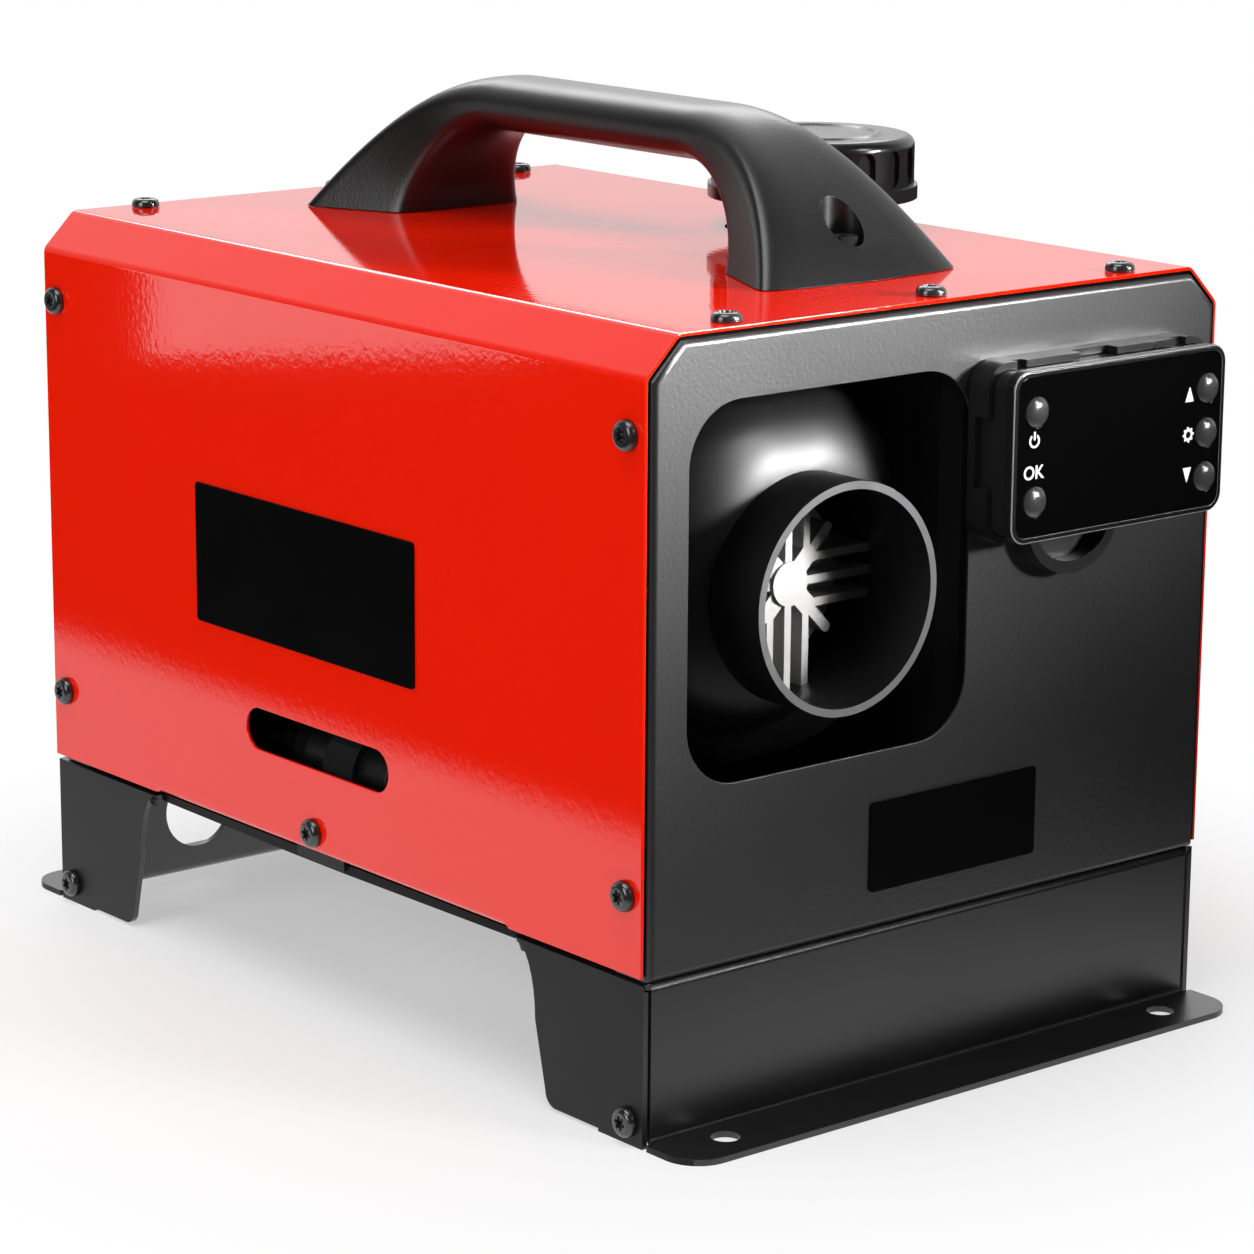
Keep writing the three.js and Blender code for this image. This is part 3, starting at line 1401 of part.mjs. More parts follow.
const group = new THREE.Group();
group.add(
  piece("base_plate", basePlate(), BASE_COAT),
  piece("top_cover", topCover(), RED_COAT),
  piece("front_panel", frontPanel(), PANEL_COAT),
  piece("rear_panel", rearPanel(), PANEL_COAT),
  piece("side_label", sideLabel(), LABEL_FILM),
  piece("front_label", frontLabel(), LABEL_FILM),
  handle(),
  heater(),
  standAndPipes(),
  fuelSystem(),
  controller(),
  ...screws(),
);
const gland = piece("cable_gland", cableGland(), GLOSS_PLASTIC);
gland.rotation.x = -Math.PI / 2;
gland.position.set(GLAND_X, PANEL_Y, GLAND_Z);
group.add(gland);

export default group;
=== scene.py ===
import json
import math

import bmesh
import bpy
from mathutils import Matrix, Vector


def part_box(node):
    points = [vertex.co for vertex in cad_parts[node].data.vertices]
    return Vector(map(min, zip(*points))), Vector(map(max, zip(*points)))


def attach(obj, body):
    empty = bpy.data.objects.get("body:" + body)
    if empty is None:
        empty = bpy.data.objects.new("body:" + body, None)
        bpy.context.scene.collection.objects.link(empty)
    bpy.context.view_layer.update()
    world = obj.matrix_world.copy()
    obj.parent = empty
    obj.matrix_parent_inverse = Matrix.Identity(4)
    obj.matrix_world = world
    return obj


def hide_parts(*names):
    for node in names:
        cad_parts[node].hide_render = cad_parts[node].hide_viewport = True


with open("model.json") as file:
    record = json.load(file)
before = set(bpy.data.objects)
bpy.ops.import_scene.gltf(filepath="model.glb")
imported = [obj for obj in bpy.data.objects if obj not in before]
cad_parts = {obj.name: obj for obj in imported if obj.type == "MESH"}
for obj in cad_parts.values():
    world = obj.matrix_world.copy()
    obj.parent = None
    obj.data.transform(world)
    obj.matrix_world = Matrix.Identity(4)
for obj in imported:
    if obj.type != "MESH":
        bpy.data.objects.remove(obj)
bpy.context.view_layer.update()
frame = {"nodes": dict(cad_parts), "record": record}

# ---------------------------------------------------------------- camera
# A long lens looks down at the left front corner from a little above the
# cover, so that the left side, the front and a thin slice of the top show.
CAMERA_PLACE = (-0.853338, -1.044250, 0.435161)
CAMERA_TURN = (1.335042, -0.006735, -0.688376)
SENSOR = 36
LENS = 118.8693

bpy.ops.object.select_all(action="DESELECT")
bpy.ops.object.camera_add(location=CAMERA_PLACE, rotation=CAMERA_TURN)
camera = bpy.context.object
camera.name = "camera"
camera.data.sensor_width = SENSOR
camera.data.lens = LENS
bpy.context.scene.camera = camera

# ----------------------------------------------------------- floor, light
# A seamless white studio floor in a white surround. Mirrors see a painted
# reflection: the floor glows white close round the object and the surround
# white behind it, and both are painted dark further off, where no flag stands.
FLOOR_SIZE = 14
FLOOR_ALBEDO = 0.82
SURROUND = 0.30
REARWARD = (0.63, 0.77, 0.0)
# Each pair is where a fade begins and ends, in metres from the middle of the
# floor, or for the surround as a cosine from straight behind.
REAR_FADE = (0.1, 0.7)
LEFT_PAINTED_DARK = (0.31, 0.345)
FRONT_PAINTED_DARK = (0.16, 0.42)
RIGHT_PAINTED_DARK = (0.06, 0.36)
BURN_OUT = (0.12, 0.34)
LEAST_BURN = 0.42
DIM = 0.02
HONEYCOMB = 20


def combine(nodes, links, operation, *values):
    """A Math node over sockets or plain numbers."""
    node = nodes.new("ShaderNodeMath")
    node.operation = operation
    for socket, value in zip(node.inputs, values):
        if isinstance(value, float):
            socket.default_value = value
        else:
            links.new(value, socket)
    return node.outputs[0]


def fade(nodes, links, value, span, low, high):
    """A smooth blend from low to high as value runs over the span."""
    node = nodes.new("ShaderNodeMapRange")
    node.interpolation_type = "SMOOTHSTEP"
    for name, number in zip(("From Min", "From Max", "To Min", "To Max"), (*span, low, high)):
        node.inputs[name].default_value = number
    links.new(value, node.inputs["Value"])
    return node.outputs["Result"]


def measure(nodes, links, operation, vector, other):
    """A vector's length, or its dot product with another."""
    node = nodes.new("ShaderNodeVectorMath")
    node.operation = operation
    node.inputs[1].default_value = other
    links.new(vector, node.inputs[0])
    return node.outputs["Value"]


bpy.ops.mesh.primitive_plane_add(size=FLOOR_SIZE, location=(0, 0, 0))
floor = bpy.context.object
floor.name = "floor"
paper = bpy.data.materials.new("studio_paper")
paper.use_nodes = True
nodes, links = paper.node_tree.nodes, paper.node_tree.links
nodes.clear()
lit = nodes.new("ShaderNodeBsdfDiffuse")
lit.inputs["Color"].default_value = (FLOOR_ALBEDO, FLOOR_ALBEDO, FLOOR_ALBEDO, 1)
glow = nodes.new("ShaderNodeEmission")
place = nodes.new("ShaderNodeTexCoord").outputs["Object"]
path = nodes.new("ShaderNodeLightPath").outputs
mirrored = combine(nodes, links, "MAXIMUM", path["Is Glossy Ray"], path["Is Transmission Ray"])
away = measure(nodes, links, "LENGTH", place, (0, 0, 0))
burnt = fade(nodes, links, away, BURN_OUT, LEAST_BURN, 1.0)
seen = combine(nodes, links, "MULTIPLY", path["Is Camera Ray"], burnt)
# Painted reflection: for mirrors the floor glows near the object, and dark is painted on it further off to
# the left, front and right.
painted_reflection_fades = []
for way, painted_dark_span in (((-1, 0, 0), LEFT_PAINTED_DARK), ((0, -1, 0), FRONT_PAINTED_DARK), ((1, 0, 0), RIGHT_PAINTED_DARK)):
    reach = measure(nodes, links, "DOT_PRODUCT", place, way)
    painted_reflection_fades.append(fade(nodes, links, reach, painted_dark_span, 1.0, 0.0))
painted_reflection_glow = combine(nodes, links, "MULTIPLY", painted_reflection_fades[1], painted_reflection_fades[2])
painted_reflection_glow = combine(nodes, links, "MULTIPLY", painted_reflection_fades[0], painted_reflection_glow)
bright = combine(nodes, links, "MAXIMUM", DIM, painted_reflection_glow)
links.new(combine(nodes, links, "MAXIMUM", bright, path["Is Camera Ray"]), glow.inputs["Strength"])
mixed = nodes.new("ShaderNodeMixShader")
links.new(combine(nodes, links, "MAXIMUM", seen, mirrored), mixed.inputs[0])
links.new(lit.outputs[0], mixed.inputs[1])
links.new(glow.outputs[0], mixed.inputs[2])
sheet_out = nodes.new("ShaderNodeOutputMaterial")
links.new(mixed.outputs[0], sheet_out.inputs["Surface"])
floor.data.materials.append(paper)

surround = bpy.data.worlds.new("white_surround")
bpy.context.scene.world = surround
surround.use_nodes = True
nodes, links = surround.node_tree.nodes, surround.node_tree.links
nodes.clear()
room = nodes.new("ShaderNodeBackground")
room.inputs["Strength"].default_value = SURROUND
white = nodes.new("ShaderNodeBackground")
room.inputs["Color"].default_value = (1, 1, 1, 1)
white.inputs["Color"].default_value = (1, 1, 1, 1)
heading = nodes.new("ShaderNodeTexCoord").outputs["Generated"]
path = nodes.new("ShaderNodeLightPath").outputs
mirrored = combine(nodes, links, "MAXIMUM", path["Is Glossy Ray"], path["Is Transmission Ray"])
# Painted reflection: mirrors see the surround white only from behind, and painted dark elsewhere.
facing = measure(nodes, links, "DOT_PRODUCT", heading, REARWARD)
behind = fade(nodes, links, facing, REAR_FADE, DIM, 1.0)
links.new(combine(nodes, links, "MAXIMUM", behind, path["Is Camera Ray"]), white.inputs["Strength"])
mixed = nodes.new("ShaderNodeMixShader")
links.new(combine(nodes, links, "MAXIMUM", path["Is Camera Ray"], mirrored), mixed.inputs[0])
links.new(room.outputs[0], mixed.inputs[1])
links.new(white.outputs[0], mixed.inputs[2])
sky = nodes.new("ShaderNodeOutputWorld")
links.new(mixed.outputs[0], sky.inputs["Surface"])


def softbox(name, place, aim, size, power, spread=180):
    """An area lamp aimed at a point; a honeycomb narrows it to spread degrees."""
    bpy.ops.object.light_add(type="AREA", location=place)
    lamp = bpy.context.object
    lamp.name = name
    lamp.data.shape = "RECTANGLE"
    lamp.data.size, lamp.data.size_y = size
    lamp.data.energy = power
    lamp.data.spread = math.radians(spread)
    direction = Vector(aim) - Vector(place)
    lamp.rotation_euler = direction.to_track_quat("-Z", "Y").to_euler()


softbox("softbox_over", place=(-0.5, -0.2, 1.8), aim=(0, 0, 0.12), size=(1.1, 1.1), power=17)
softbox("softbox_left", place=(-2.0, -0.3, 0.9), aim=(0, 0, 0.15), size=(0.9, 1.2), power=17)
softbox(
    "softbox_front", place=(0.56, -1.0, 0.46), aim=(-0.10, -0.16, 0.29), size=(0.30, 0.20),
    power=0.9, spread=HONEYCOMB,
)
softbox(
    "softbox_dome", place=(0.33, -0.98, 0.83), aim=(-0.10, -0.15, 0.225), size=(0.40, 0.34),
    power=0.16, spread=HONEYCOMB,
)
softbox("softbox_grip", place=(0.9, 1.3, 1.15), aim=(0, 0, 0.28), size=(1.2, 0.35), power=8)
softbox("softbox_edge", place=(-0.69, 0.78, 0.15), aim=(-0.12, 0, 0.2), size=(0.22, 0.20), power=0.2)

bpy.context.scene.view_settings.view_transform = "Standard"

# ------------------------------------------------------------------ base
# The base is folded from 2 mm sheet: a deck, an apron and a bolting flange
# at each end, and four tapered legs bent down from the deck's sides. It is
# powder coated satin black.
EPS = 1e-5
LEG_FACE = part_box("base_plate")[1].x
FLANGE_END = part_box("base_plate")[1].y
DECK = 0.051
APRON = 0.160
SHEET = 0.002
SEAM = 0.0032
SHOULDER = 0.001
DECK_FOLD = 0.003
FLANGE_FOLD = 0.0012
FLANGE_CORNER = 0.012
EAR_ENDS = (-0.008, 0.018)
EAR_RISE = 0.017
BOLT_X, BOLT_Y, BOLT_R = 0.093, 0.1705, 0.0045
PIPE_XS, PIPE_Y, PIPE_R = (-0.0602, -0.0302), -0.030, 0.014
APRON_HOLE_X, APRON_HOLE_Z, APRON_HOLE_R = -0.0602, 0.023, 0.0137
LEG_MIDDLE, LEG_DEPTH, LEG_FOLD = -0.129, 0.062, 0.0025
LEG_INNER = -0.098
NECK_Z, NECK_IN, NECK_DOWN = 0.027, 0.011, 0.024
TOE_Y, TOE_Z, TOE_R = -0.119, 0.006, 0.005
TOE_SPLIT = -0.14
EDGE_BREAK = 0.0003


def only(obj):
    """Leaves obj alone selected, and active."""
    bpy.ops.object.select_all(action="DESELECT")
    obj.select_set(True)
    bpy.context.view_layer.objects.active = obj


def added(name):
    """Names the primitive just added and puts its place into its mesh."""
    obj = bpy.context.object
    obj.name = name
    obj.data.name = name
    only(obj)
    bpy.ops.object.transform_apply(location=True, rotation=True, scale=True)
    return obj


def edit(obj):
    """Opens obj in edit mode; done() leaves it."""
    only(obj)
    bpy.ops.object.mode_set(mode="EDIT")


def done():
    bpy.ops.object.mode_set(mode="OBJECT")


def pick(obj, kind, test):
    """Selects the verts, edges or faces that pass the test on their middle and direction."""
    bpy.ops.mesh.select_mode(type=kind)
    bpy.ops.mesh.select_all(action="DESELECT")
    mesh = bmesh.from_edit_mesh(obj.data)
    found = 0
    if kind == "VERT":
        for v in mesh.verts:
            v.select = test(v.co, v.normal)
            found += v.select
    elif kind == "EDGE":
        for e in mesh.edges:
            a, b = e.verts[0].co, e.verts[1].co
            e.select = test((a + b) / 2, (b - a).normalized())
            found += e.select
    else:
        for f in mesh.faces:
            f.select = test(f.calc_center_median(), f.normal)
            found += f.select
    mesh.select_flush_mode()
    bmesh.update_edit_mesh(obj.data)
    if not found:
        raise ValueError("nothing to pick on " + obj.name)


def extrude(x=0.0, y=0.0, z=0.0):
    """Extrudes what is selected by the way given."""
    bpy.ops.mesh.extrude_region_move(TRANSFORM_OT_translate={"value": (x, y, z)})


def bevel(width, segments, kind="EDGES", profile=0.5):
    """Bevels what is selected."""
    bpy.ops.mesh.bevel(offset=width, segments=segments, affect=kind, profile=profile)


def outward():
    """Turns all the faces outwards."""
    bpy.ops.mesh.select_all(action="SELECT")
    bpy.ops.mesh.normals_make_consistent(inside=False)


def near(a, b, slack=EPS):
    return abs(a - b) < slack


def modify(obj, kind, **settings):
    """Adds a modifier, sets it up and applies it."""
    only(obj)
    modifier = obj.modifiers.new(kind.lower(), kind)
    for key, value in settings.items():
        setattr(modifier, key, value)
    bpy.ops.object.modifier_apply(modifier=modifier.name)


def joined(name, pieces):
    """Makes one mesh of several pieces."""
    only(pieces[0])
    for piece in pieces:
        piece.select_set(True)
    bpy.ops.object.join()
    whole = bpy.context.object
    whole.name = name
    whole.data.name = name
    return whole


def cut(obj, cutters, operation="DIFFERENCE"):
    """Cuts the cutters out of obj, or joins them to it, and removes them."""
    tool = joined("tool", cutters)
    modify(obj, "BOOLEAN", operation=operation, object=tool, solver="EXACT")
    bpy.data.objects.remove(tool, do_unlink=True)


def drill(axis, place, radius, length, sides=48):
    """A round bar or cutter, with its middle at place, along an axis."""
    turn = {"x": (0, math.pi / 2, 0), "y": (math.pi / 2, 0, 0), "z": (0, 0, 0)}[axis]
    bpy.ops.mesh.primitive_cylinder_add(
        vertices=sides, radius=radius, depth=length, location=place, rotation=turn,
    )
    return added("drill")


def block(name, low, high):
    """A box between two corners, to be shaped further."""
    low, high = Vector(low), Vector(high)
    bpy.ops.mesh.primitive_cube_add(size=1, location=(low + high) / 2)
    bpy.context.object.scale = high - low
    return added(name)


def soften(obj, width=EDGE_BREAK, angle=35, segments=2):
    """Breaks the sharp edges and keeps the flats flat."""
    modify(
        obj, "BEVEL", width=width, segments=segments, limit_method="ANGLE",
        angle_limit=math.radians(angle), use_clamp_overlap=True,
    )
    only(obj)
    bpy.ops.object.shade_smooth()
    modify(obj, "WEIGHTED_NORMAL", keep_sharp=True, weight=70)


def finish(name, colour, shade, cloud, rough, grain, depth, metallic=0.0, level=0.5, detail=2.0):
    """A finish that drifts from colour to shade over cloud metres.

    rough holds the least and most roughness, grain the size of the surface's
    bumps in metres and depth their height."""
    material = bpy.data.materials.new(name)
    material.use_nodes = True
    nodes, links = material.node_tree.nodes, material.node_tree.links
    shader = nodes["Principled BSDF"]
    shader.inputs["Metallic"].default_value = metallic
    shader.inputs["Specular IOR Level"].default_value = level
    place = nodes.new("ShaderNodeTexCoord")
    drift = nodes.new("ShaderNodeTexNoise")
    drift.inputs["Scale"].default_value = 1 / cloud
    drift.inputs["Detail"].default_value = 4
    links.new(place.outputs["Object"], drift.inputs["Vector"])
    tint = nodes.new("ShaderNodeMix")
    tint.data_type = "RGBA"
    tint.inputs["A"].default_value = (*colour, 1)
    tint.inputs["B"].default_value = (*shade, 1)
    links.new(drift.outputs["Fac"], tint.inputs["Factor"])
    links.new(tint.outputs["Result"], shader.inputs["Base Color"])
    spread = nodes.new("ShaderNodeMapRange")
    spread.inputs["From Min"].default_value = 0.3
    spread.inputs["From Max"].default_value = 0.7
    spread.inputs["To Min"].default_value = rough[0]
    spread.inputs["To Max"].default_value = rough[1]
    links.new(drift.outputs["Fac"], spread.inputs["Value"])
    links.new(spread.outputs["Result"], shader.inputs["Roughness"])
    bumps = nodes.new("ShaderNodeTexNoise")
    bumps.inputs["Scale"].default_value = 1 / grain
    bumps.inputs["Detail"].default_value = detail
    links.new(place.outputs["Object"], bumps.inputs["Vector"])
    relief = nodes.new("ShaderNodeBump")
    relief.inputs["Distance"].default_value = depth
    links.new(bumps.outputs["Fac"], relief.inputs["Height"])
    links.new(relief.outputs["Normal"], shader.inputs["Normal"])
    return material


def dress(obj, material, slot, body, *nodes_replaced):
    """Gives a new piece its finish, its body and the nodes that it stands for."""
    obj.data.materials.clear()
    obj.data.materials.append(material)
    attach(obj, body)
    if nodes_replaced:
        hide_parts(*nodes_replaced)


black_coat = finish(
    "satin_black_coat", (0.006, 0.0062, 0.0065), (0.008, 0.0082, 0.0085), 0.05,
    (0.28, 0.34), 0.0011, 0.000016, level=0.75,
)

bpy.ops.mesh.primitive_plane_add(size=1, location=(0, 0, DECK))
bpy.context.object.scale = (2 * (LEG_FACE - SEAM), 2 * APRON, 1)
deck = added("deck")
edit(deck)
for end in (-1, 1):
    pick(deck, "EDGE", lambda m, d: near(m.y, end * APRON) and near(m.z, DECK))
    extrude(z=SHEET - DECK)
    extrude(y=end * SHOULDER)
    extrude(y=end * SHOULDER)
    bpy.ops.transform.resize(value=(LEG_FACE / (LEG_FACE - SEAM), 1, 1), center_override=(0, 0, 0))
    extrude(y=end * (FLANGE_END - APRON - 2 * SHOULDER))
pick(deck, "EDGE", lambda m, d: near(abs(m.y), APRON) and near(m.z, DECK) and abs(d.x) > 0.9)
bevel(DECK_FOLD, 6)
pick(deck, "EDGE", lambda m, d: near(abs(m.y), APRON) and near(m.z, SHEET) and abs(d.x) > 0.9)
bevel(FLANGE_FOLD, 4)
pick(deck, "VERT", lambda v, n: near(abs(v.y), FLANGE_END))
bevel(FLANGE_CORNER, 10, "VERTICES")
for cut_at in EAR_ENDS:
    bpy.ops.mesh.select_all(action="SELECT")
    bpy.ops.mesh.bisect(plane_co=(0, cut_at, 0), plane_no=(0, 1, 0))
pick(deck, "EDGE", lambda m, d: near(m.y, sum(EAR_ENDS) / 2, 0.002) and near(m.z, DECK) and abs(d.y) > 0.9)
extrude(z=EAR_RISE)
outward()
done()
deck_up = max(deck.data.polygons, key=lambda face: face.area).normal.z > 0
modify(deck, "SOLIDIFY", thickness=SHEET, offset=-1 if deck_up else 1, use_even_offset=True)
edit(deck)
outward()
done()
holes = [drill("z", (x, y, 0), BOLT_R, 0.01) for x in (-BOLT_X, BOLT_X) for y in (-BOLT_Y, BOLT_Y)]
holes += [drill("z", (x, PIPE_Y, DECK), PIPE_R, 0.01) for x in PIPE_XS]
holes.append(drill("y", (APRON_HOLE_X, APRON, APRON_HOLE_Z), APRON_HOLE_R, 0.01, 64))
cut(deck, holes)

bpy.ops.mesh.primitive_plane_add(size=1, location=(SEAM / 2 - LEG_FACE, LEG_MIDDLE, DECK))
bpy.context.object.scale = (SEAM, LEG_DEPTH, 1)
leg = added("leg")
stations = []
for step in range(1, 9):
    turn = step / 8 * math.pi / 2
    stations.append((LEG_INNER - NECK_IN * math.sin(turn), NECK_Z + NECK_DOWN * math.cos(turn)))
for step in range(7):
    turn = step / 6 * math.pi / 2
    stations.append((TOE_Y + TOE_R * math.cos(turn), TOE_Z - TOE_R * math.sin(turn)))
edit(leg)
inner, level_z = LEG_INNER, DECK
pick(leg, "EDGE", lambda m, d: near(m.x, -LEG_FACE))
for y, z in stations:
    extrude(z=z - level_z)
    pick(leg, "VERT", lambda v, n: near(v.z, z) and near(v.y, inner) and near(v.x, -LEG_FACE))
    bpy.ops.transform.translate(value=(0, y - inner, 0))
    inner, level_z = y, z
    pick(leg, "EDGE", lambda m, d: near(m.z, z) and near(m.x, -LEG_FACE) and abs(d.y) > 0.9)
bpy.ops.mesh.subdivide(number_cuts=1)
pick(leg, "EDGE", lambda m, d: near(m.z, level_z) and m.y < TOE_SPLIT and abs(d.y) > 0.9)
extrude(z=-level_z)
pick(leg, "EDGE", lambda m, d: near(m.x, -LEG_FACE) and near(m.z, DECK) and abs(d.y) > 0.9)
bevel(LEG_FOLD, 6)
outward()
done()
leg_out = sum(face.normal.x * face.area for face in leg.data.polygons) < 0
modify(leg, "MIRROR", use_axis=(True, True, False), merge_threshold=1e-6)
modify(leg, "SOLIDIFY", thickness=SHEET, offset=-1 if leg_out else 1, use_even_offset=True)
edit(leg)
outward()
done()
base = joined("base", [deck, leg])
soften(base)
dress(base, black_coat, "base_coat", "housing", "base_plate")
# Painted shade: the legs' outer faces get a less reflective copy of the same coat, which keeps them dark
# where they face the bright floor.
legs_shaded_coat = finish(
    "legs_shaded_black_coat", (0.006, 0.0062, 0.0065), (0.008, 0.0082, 0.0085), 0.05,
    (0.34, 0.4), 0.0011, 0.000016, level=0.22,
)
base.data.materials.append(legs_shaded_coat)
for face in base.data.polygons:
    if abs(face.normal.x) > 0.7 and abs(face.center.x) > LEG_FACE - SEAM:
        face.material_index = 1

# ------------------------------------------------------------ end panels
# Each end is closed by a pan of 1.2 mm sheet with a rim bent inwards. The
# front one has the outlet's window, the rear one a round hole for the air
# intake. Their coat is charcoal with the fine texture of leather.
PANEL_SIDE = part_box("front_panel")[1].x
PANEL_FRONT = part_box("front_panel")[0].y
PANEL_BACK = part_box("front_panel")[1].y
REAR_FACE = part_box("rear_panel")[1].y
PANEL_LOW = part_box("front_panel")[0].z
PANEL_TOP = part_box("front_panel")[1].z
PANEL_T = 0.0012
PANEL_CORNER = 0.01083
PANEL_FOLD = 0.0022
HEATER_X = -0.0452
HEATER_Z = 0.158
WINDOW_LOW = (-0.10195, -0.170, 0.1072)
WINDOW_HIGH = (0.00955, -0.150, 0.2214)
WINDOW_R = 0.019
INTAKE_HOLE_R = 0.040
GLAND_X, GLAND_Z, GLAND_HOLE_R = 0.062, 0.084, 0.008

panel_coat = finish(
    "fine_texture_coat", (0.006, 0.0062, 0.0065), (0.008, 0.0082, 0.0085), 0.08,
    (0.36, 0.4), 0.0010, 0.00006, level=0.8, detail=1.0,
)


def rounded_tool(low, high, radius, axis):
    """A box whose four edges along the axis are rounded."""
    tool = block("window_tool", low, high)
    edit(tool)
    pick(tool, "EDGE", lambda m, d: abs(getattr(d, axis)) > 0.9)
    bevel(radius, 12)
    done()
    return tool


def on_axis(y, radius, length, sides=128):
    """A round bar or cutter on the heater's axis, with its middle at y."""
    return drill("y", (HEATER_X, y, HEATER_Z), radius, length, sides)


def pan(name, front, back):
    """A pan closed at front and open at back, with its two upper corners cut off."""
    low, high = sorted((front, back))
    sheet = block(name, (-PANEL_SIDE, low, PANEL_LOW), (PANEL_SIDE, high, PANEL_TOP))
    edit(sheet)
    pick(sheet, "FACE", lambda m, n: near(m.y, back))
    bpy.ops.mesh.delete(type="FACE")
    pick(sheet, "EDGE", lambda m, d: abs(d.y) > 0.9 and near(m.z, PANEL_TOP))
    bevel(PANEL_CORNER, 1)
    pick(sheet, "EDGE", lambda m, d: near(m.y, front) and abs(d.y) < 0.1)
    bevel(PANEL_FOLD, 5)
    done()
    modify(sheet, "SOLIDIFY", thickness=PANEL_T, offset=-1, use_even_offset=True)
    return sheet


front_panel = pan("front_plate", PANEL_FRONT, PANEL_BACK)
cut(front_panel, [rounded_tool(WINDOW_LOW, WINDOW_HIGH, WINDOW_R, "y")])
soften(front_panel)
dress(front_panel, panel_coat, "panel_coat", "housing", "front_panel")

rear_panel = pan("rear_plate", REAR_FACE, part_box("rear_panel")[0].y)
cut(rear_panel, [
    on_axis(REAR_FACE, INTAKE_HOLE_R, 0.02, 96),
    drill("y", (GLAND_X, REAR_FACE, GLAND_Z), GLAND_HOLE_R, 0.02),
])
soften(rear_panel)
dress(rear_panel, panel_coat, "panel_coat", "housing", "rear_panel")

# ----------------------------------------------------------- outlet hood
# The heater's front cap is moulded in black nylon: a domed hood that ends
# in the round collar for the air duct, its front rim painted lighter grey as a highlight.
HOOD_LOW, HOOD_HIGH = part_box("outlet_hood")
HOOD_FACE = -0.148
HOOD_TALLER = 0.006
HOOD_CORNER = 0.050
HOOD_DOME = 0.036
HOOD_WALL = 0.0025
COLLAR_R = 0.0355
COLLAR_BORE = 0.0331
COLLAR_ROOT = -0.130
BORE_MIDDLE, BORE_LENGTH = -0.150, 0.05
RIM = HOOD_LOW.y

hood_plastic = finish(
    "moulded_black_nylon", (0.0035, 0.0036, 0.0038), (0.0048, 0.0049, 0.0052), 0.04,
    (0.37, 0.41), 0.0008, 0.00002, level=0.48,
)
hood = block(
    "hood_shell", (HOOD_LOW.x, HOOD_FACE, HOOD_LOW.z),
    (HOOD_HIGH.x, HOOD_HIGH.y, HOOD_HIGH.z + HOOD_TALLER),
)
edit(hood)
pick(hood, "EDGE", lambda m, d: abs(d.y) > 0.9)
bevel(HOOD_CORNER, 20)
pick(hood, "EDGE", lambda m, d: near(m.y, HOOD_FACE))
bevel(HOOD_DOME, 18)
pick(hood, "FACE", lambda m, n: near(m.y, HOOD_HIGH.y) and n.y > 0.9)
bpy.ops.mesh.delete(type="FACE")
done()
modify(hood, "SOLIDIFY", thickness=HOOD_WALL, offset=-1, use_even_offset=True)
cut(hood, [on_axis((RIM + COLLAR_ROOT) / 2, COLLAR_R, COLLAR_ROOT - RIM)], "UNION")
cut(hood, [on_axis(BORE_MIDDLE, COLLAR_BORE, BORE_LENGTH)])
soften(hood, 0.0005, 40)
dress(hood, hood_plastic, "case_plastic", "housing", "outlet_hood")
# Painted highlight: the collar's front rim faces are a lighter grey.
rim_highlight = finish(
    "painted_rim_highlight", (0.10, 0.10, 0.102), (0.13, 0.13, 0.132), 0.01,
    (0.3, 0.4), 0.0008, 0.00002, level=0.6,
)
hood.data.materials.append(rim_highlight)
for face in hood.data.polygons:
    if near(face.center.y, RIM, 0.0006):
        face.material_index = 1

# -------------------------------------------------------- heat exchanger
# Behind the outlet sits the cast aluminium heat exchanger. Three ribs run
# out to each side of its hub, and short round-ended ones between them; the
# webs at the hub are cast in one with them.
CORE_LOW, CORE_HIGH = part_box("heat_exchanger")
CORE_FACE, CORE_R = -0.133, 0.026
HUB_ROOT, HUB_R = -0.130, 0.0069
RIB_FRONT = CORE_LOW.y + 0.001
RIB_BACK = 0.027
RIB_PITCH = 0.0071
RIB_T = 0.0026
RIB_END = 0.0405
ROOT = 0.003
SIDE_ROOT = 0.0066
WEB_END, WEB_T = 0.0142, 0.0062
SHORT_END, SHORT_T = 0.0235, 0.0034
SOLE_HALF, SOLE_FRONT, SOLE_BACK, SOLE_TOP = 0.025, -0.072, 0.012, 0.145

cast_metal = finish(
    "sand_cast_aluminium", (0.62, 0.62, 0.61), (0.50, 0.49, 0.48), 0.012,
    (0.48, 0.58), 0.0005, 0.00006, metallic=1.0,
)


def rib(start, stop, aside, width, angle):
    """A rib from start to stop along X, set aside in Z and turned about the axis."""
    bar = block("rib", (start, RIB_FRONT, aside - width / 2), (stop, RIB_BACK, aside + width / 2))
    edit(bar)
    pick(bar, "EDGE", lambda m, d: abs(d.y) > 0.9 and near(m.x, stop))
    bevel(width * 0.49, 4)
    done()
    bar.data.transform(Matrix.Rotation(angle, 4, "Y"))
    bar.data.transform(Matrix.Translation((HEATER_X, 0, HEATER_Z)))
    return bar


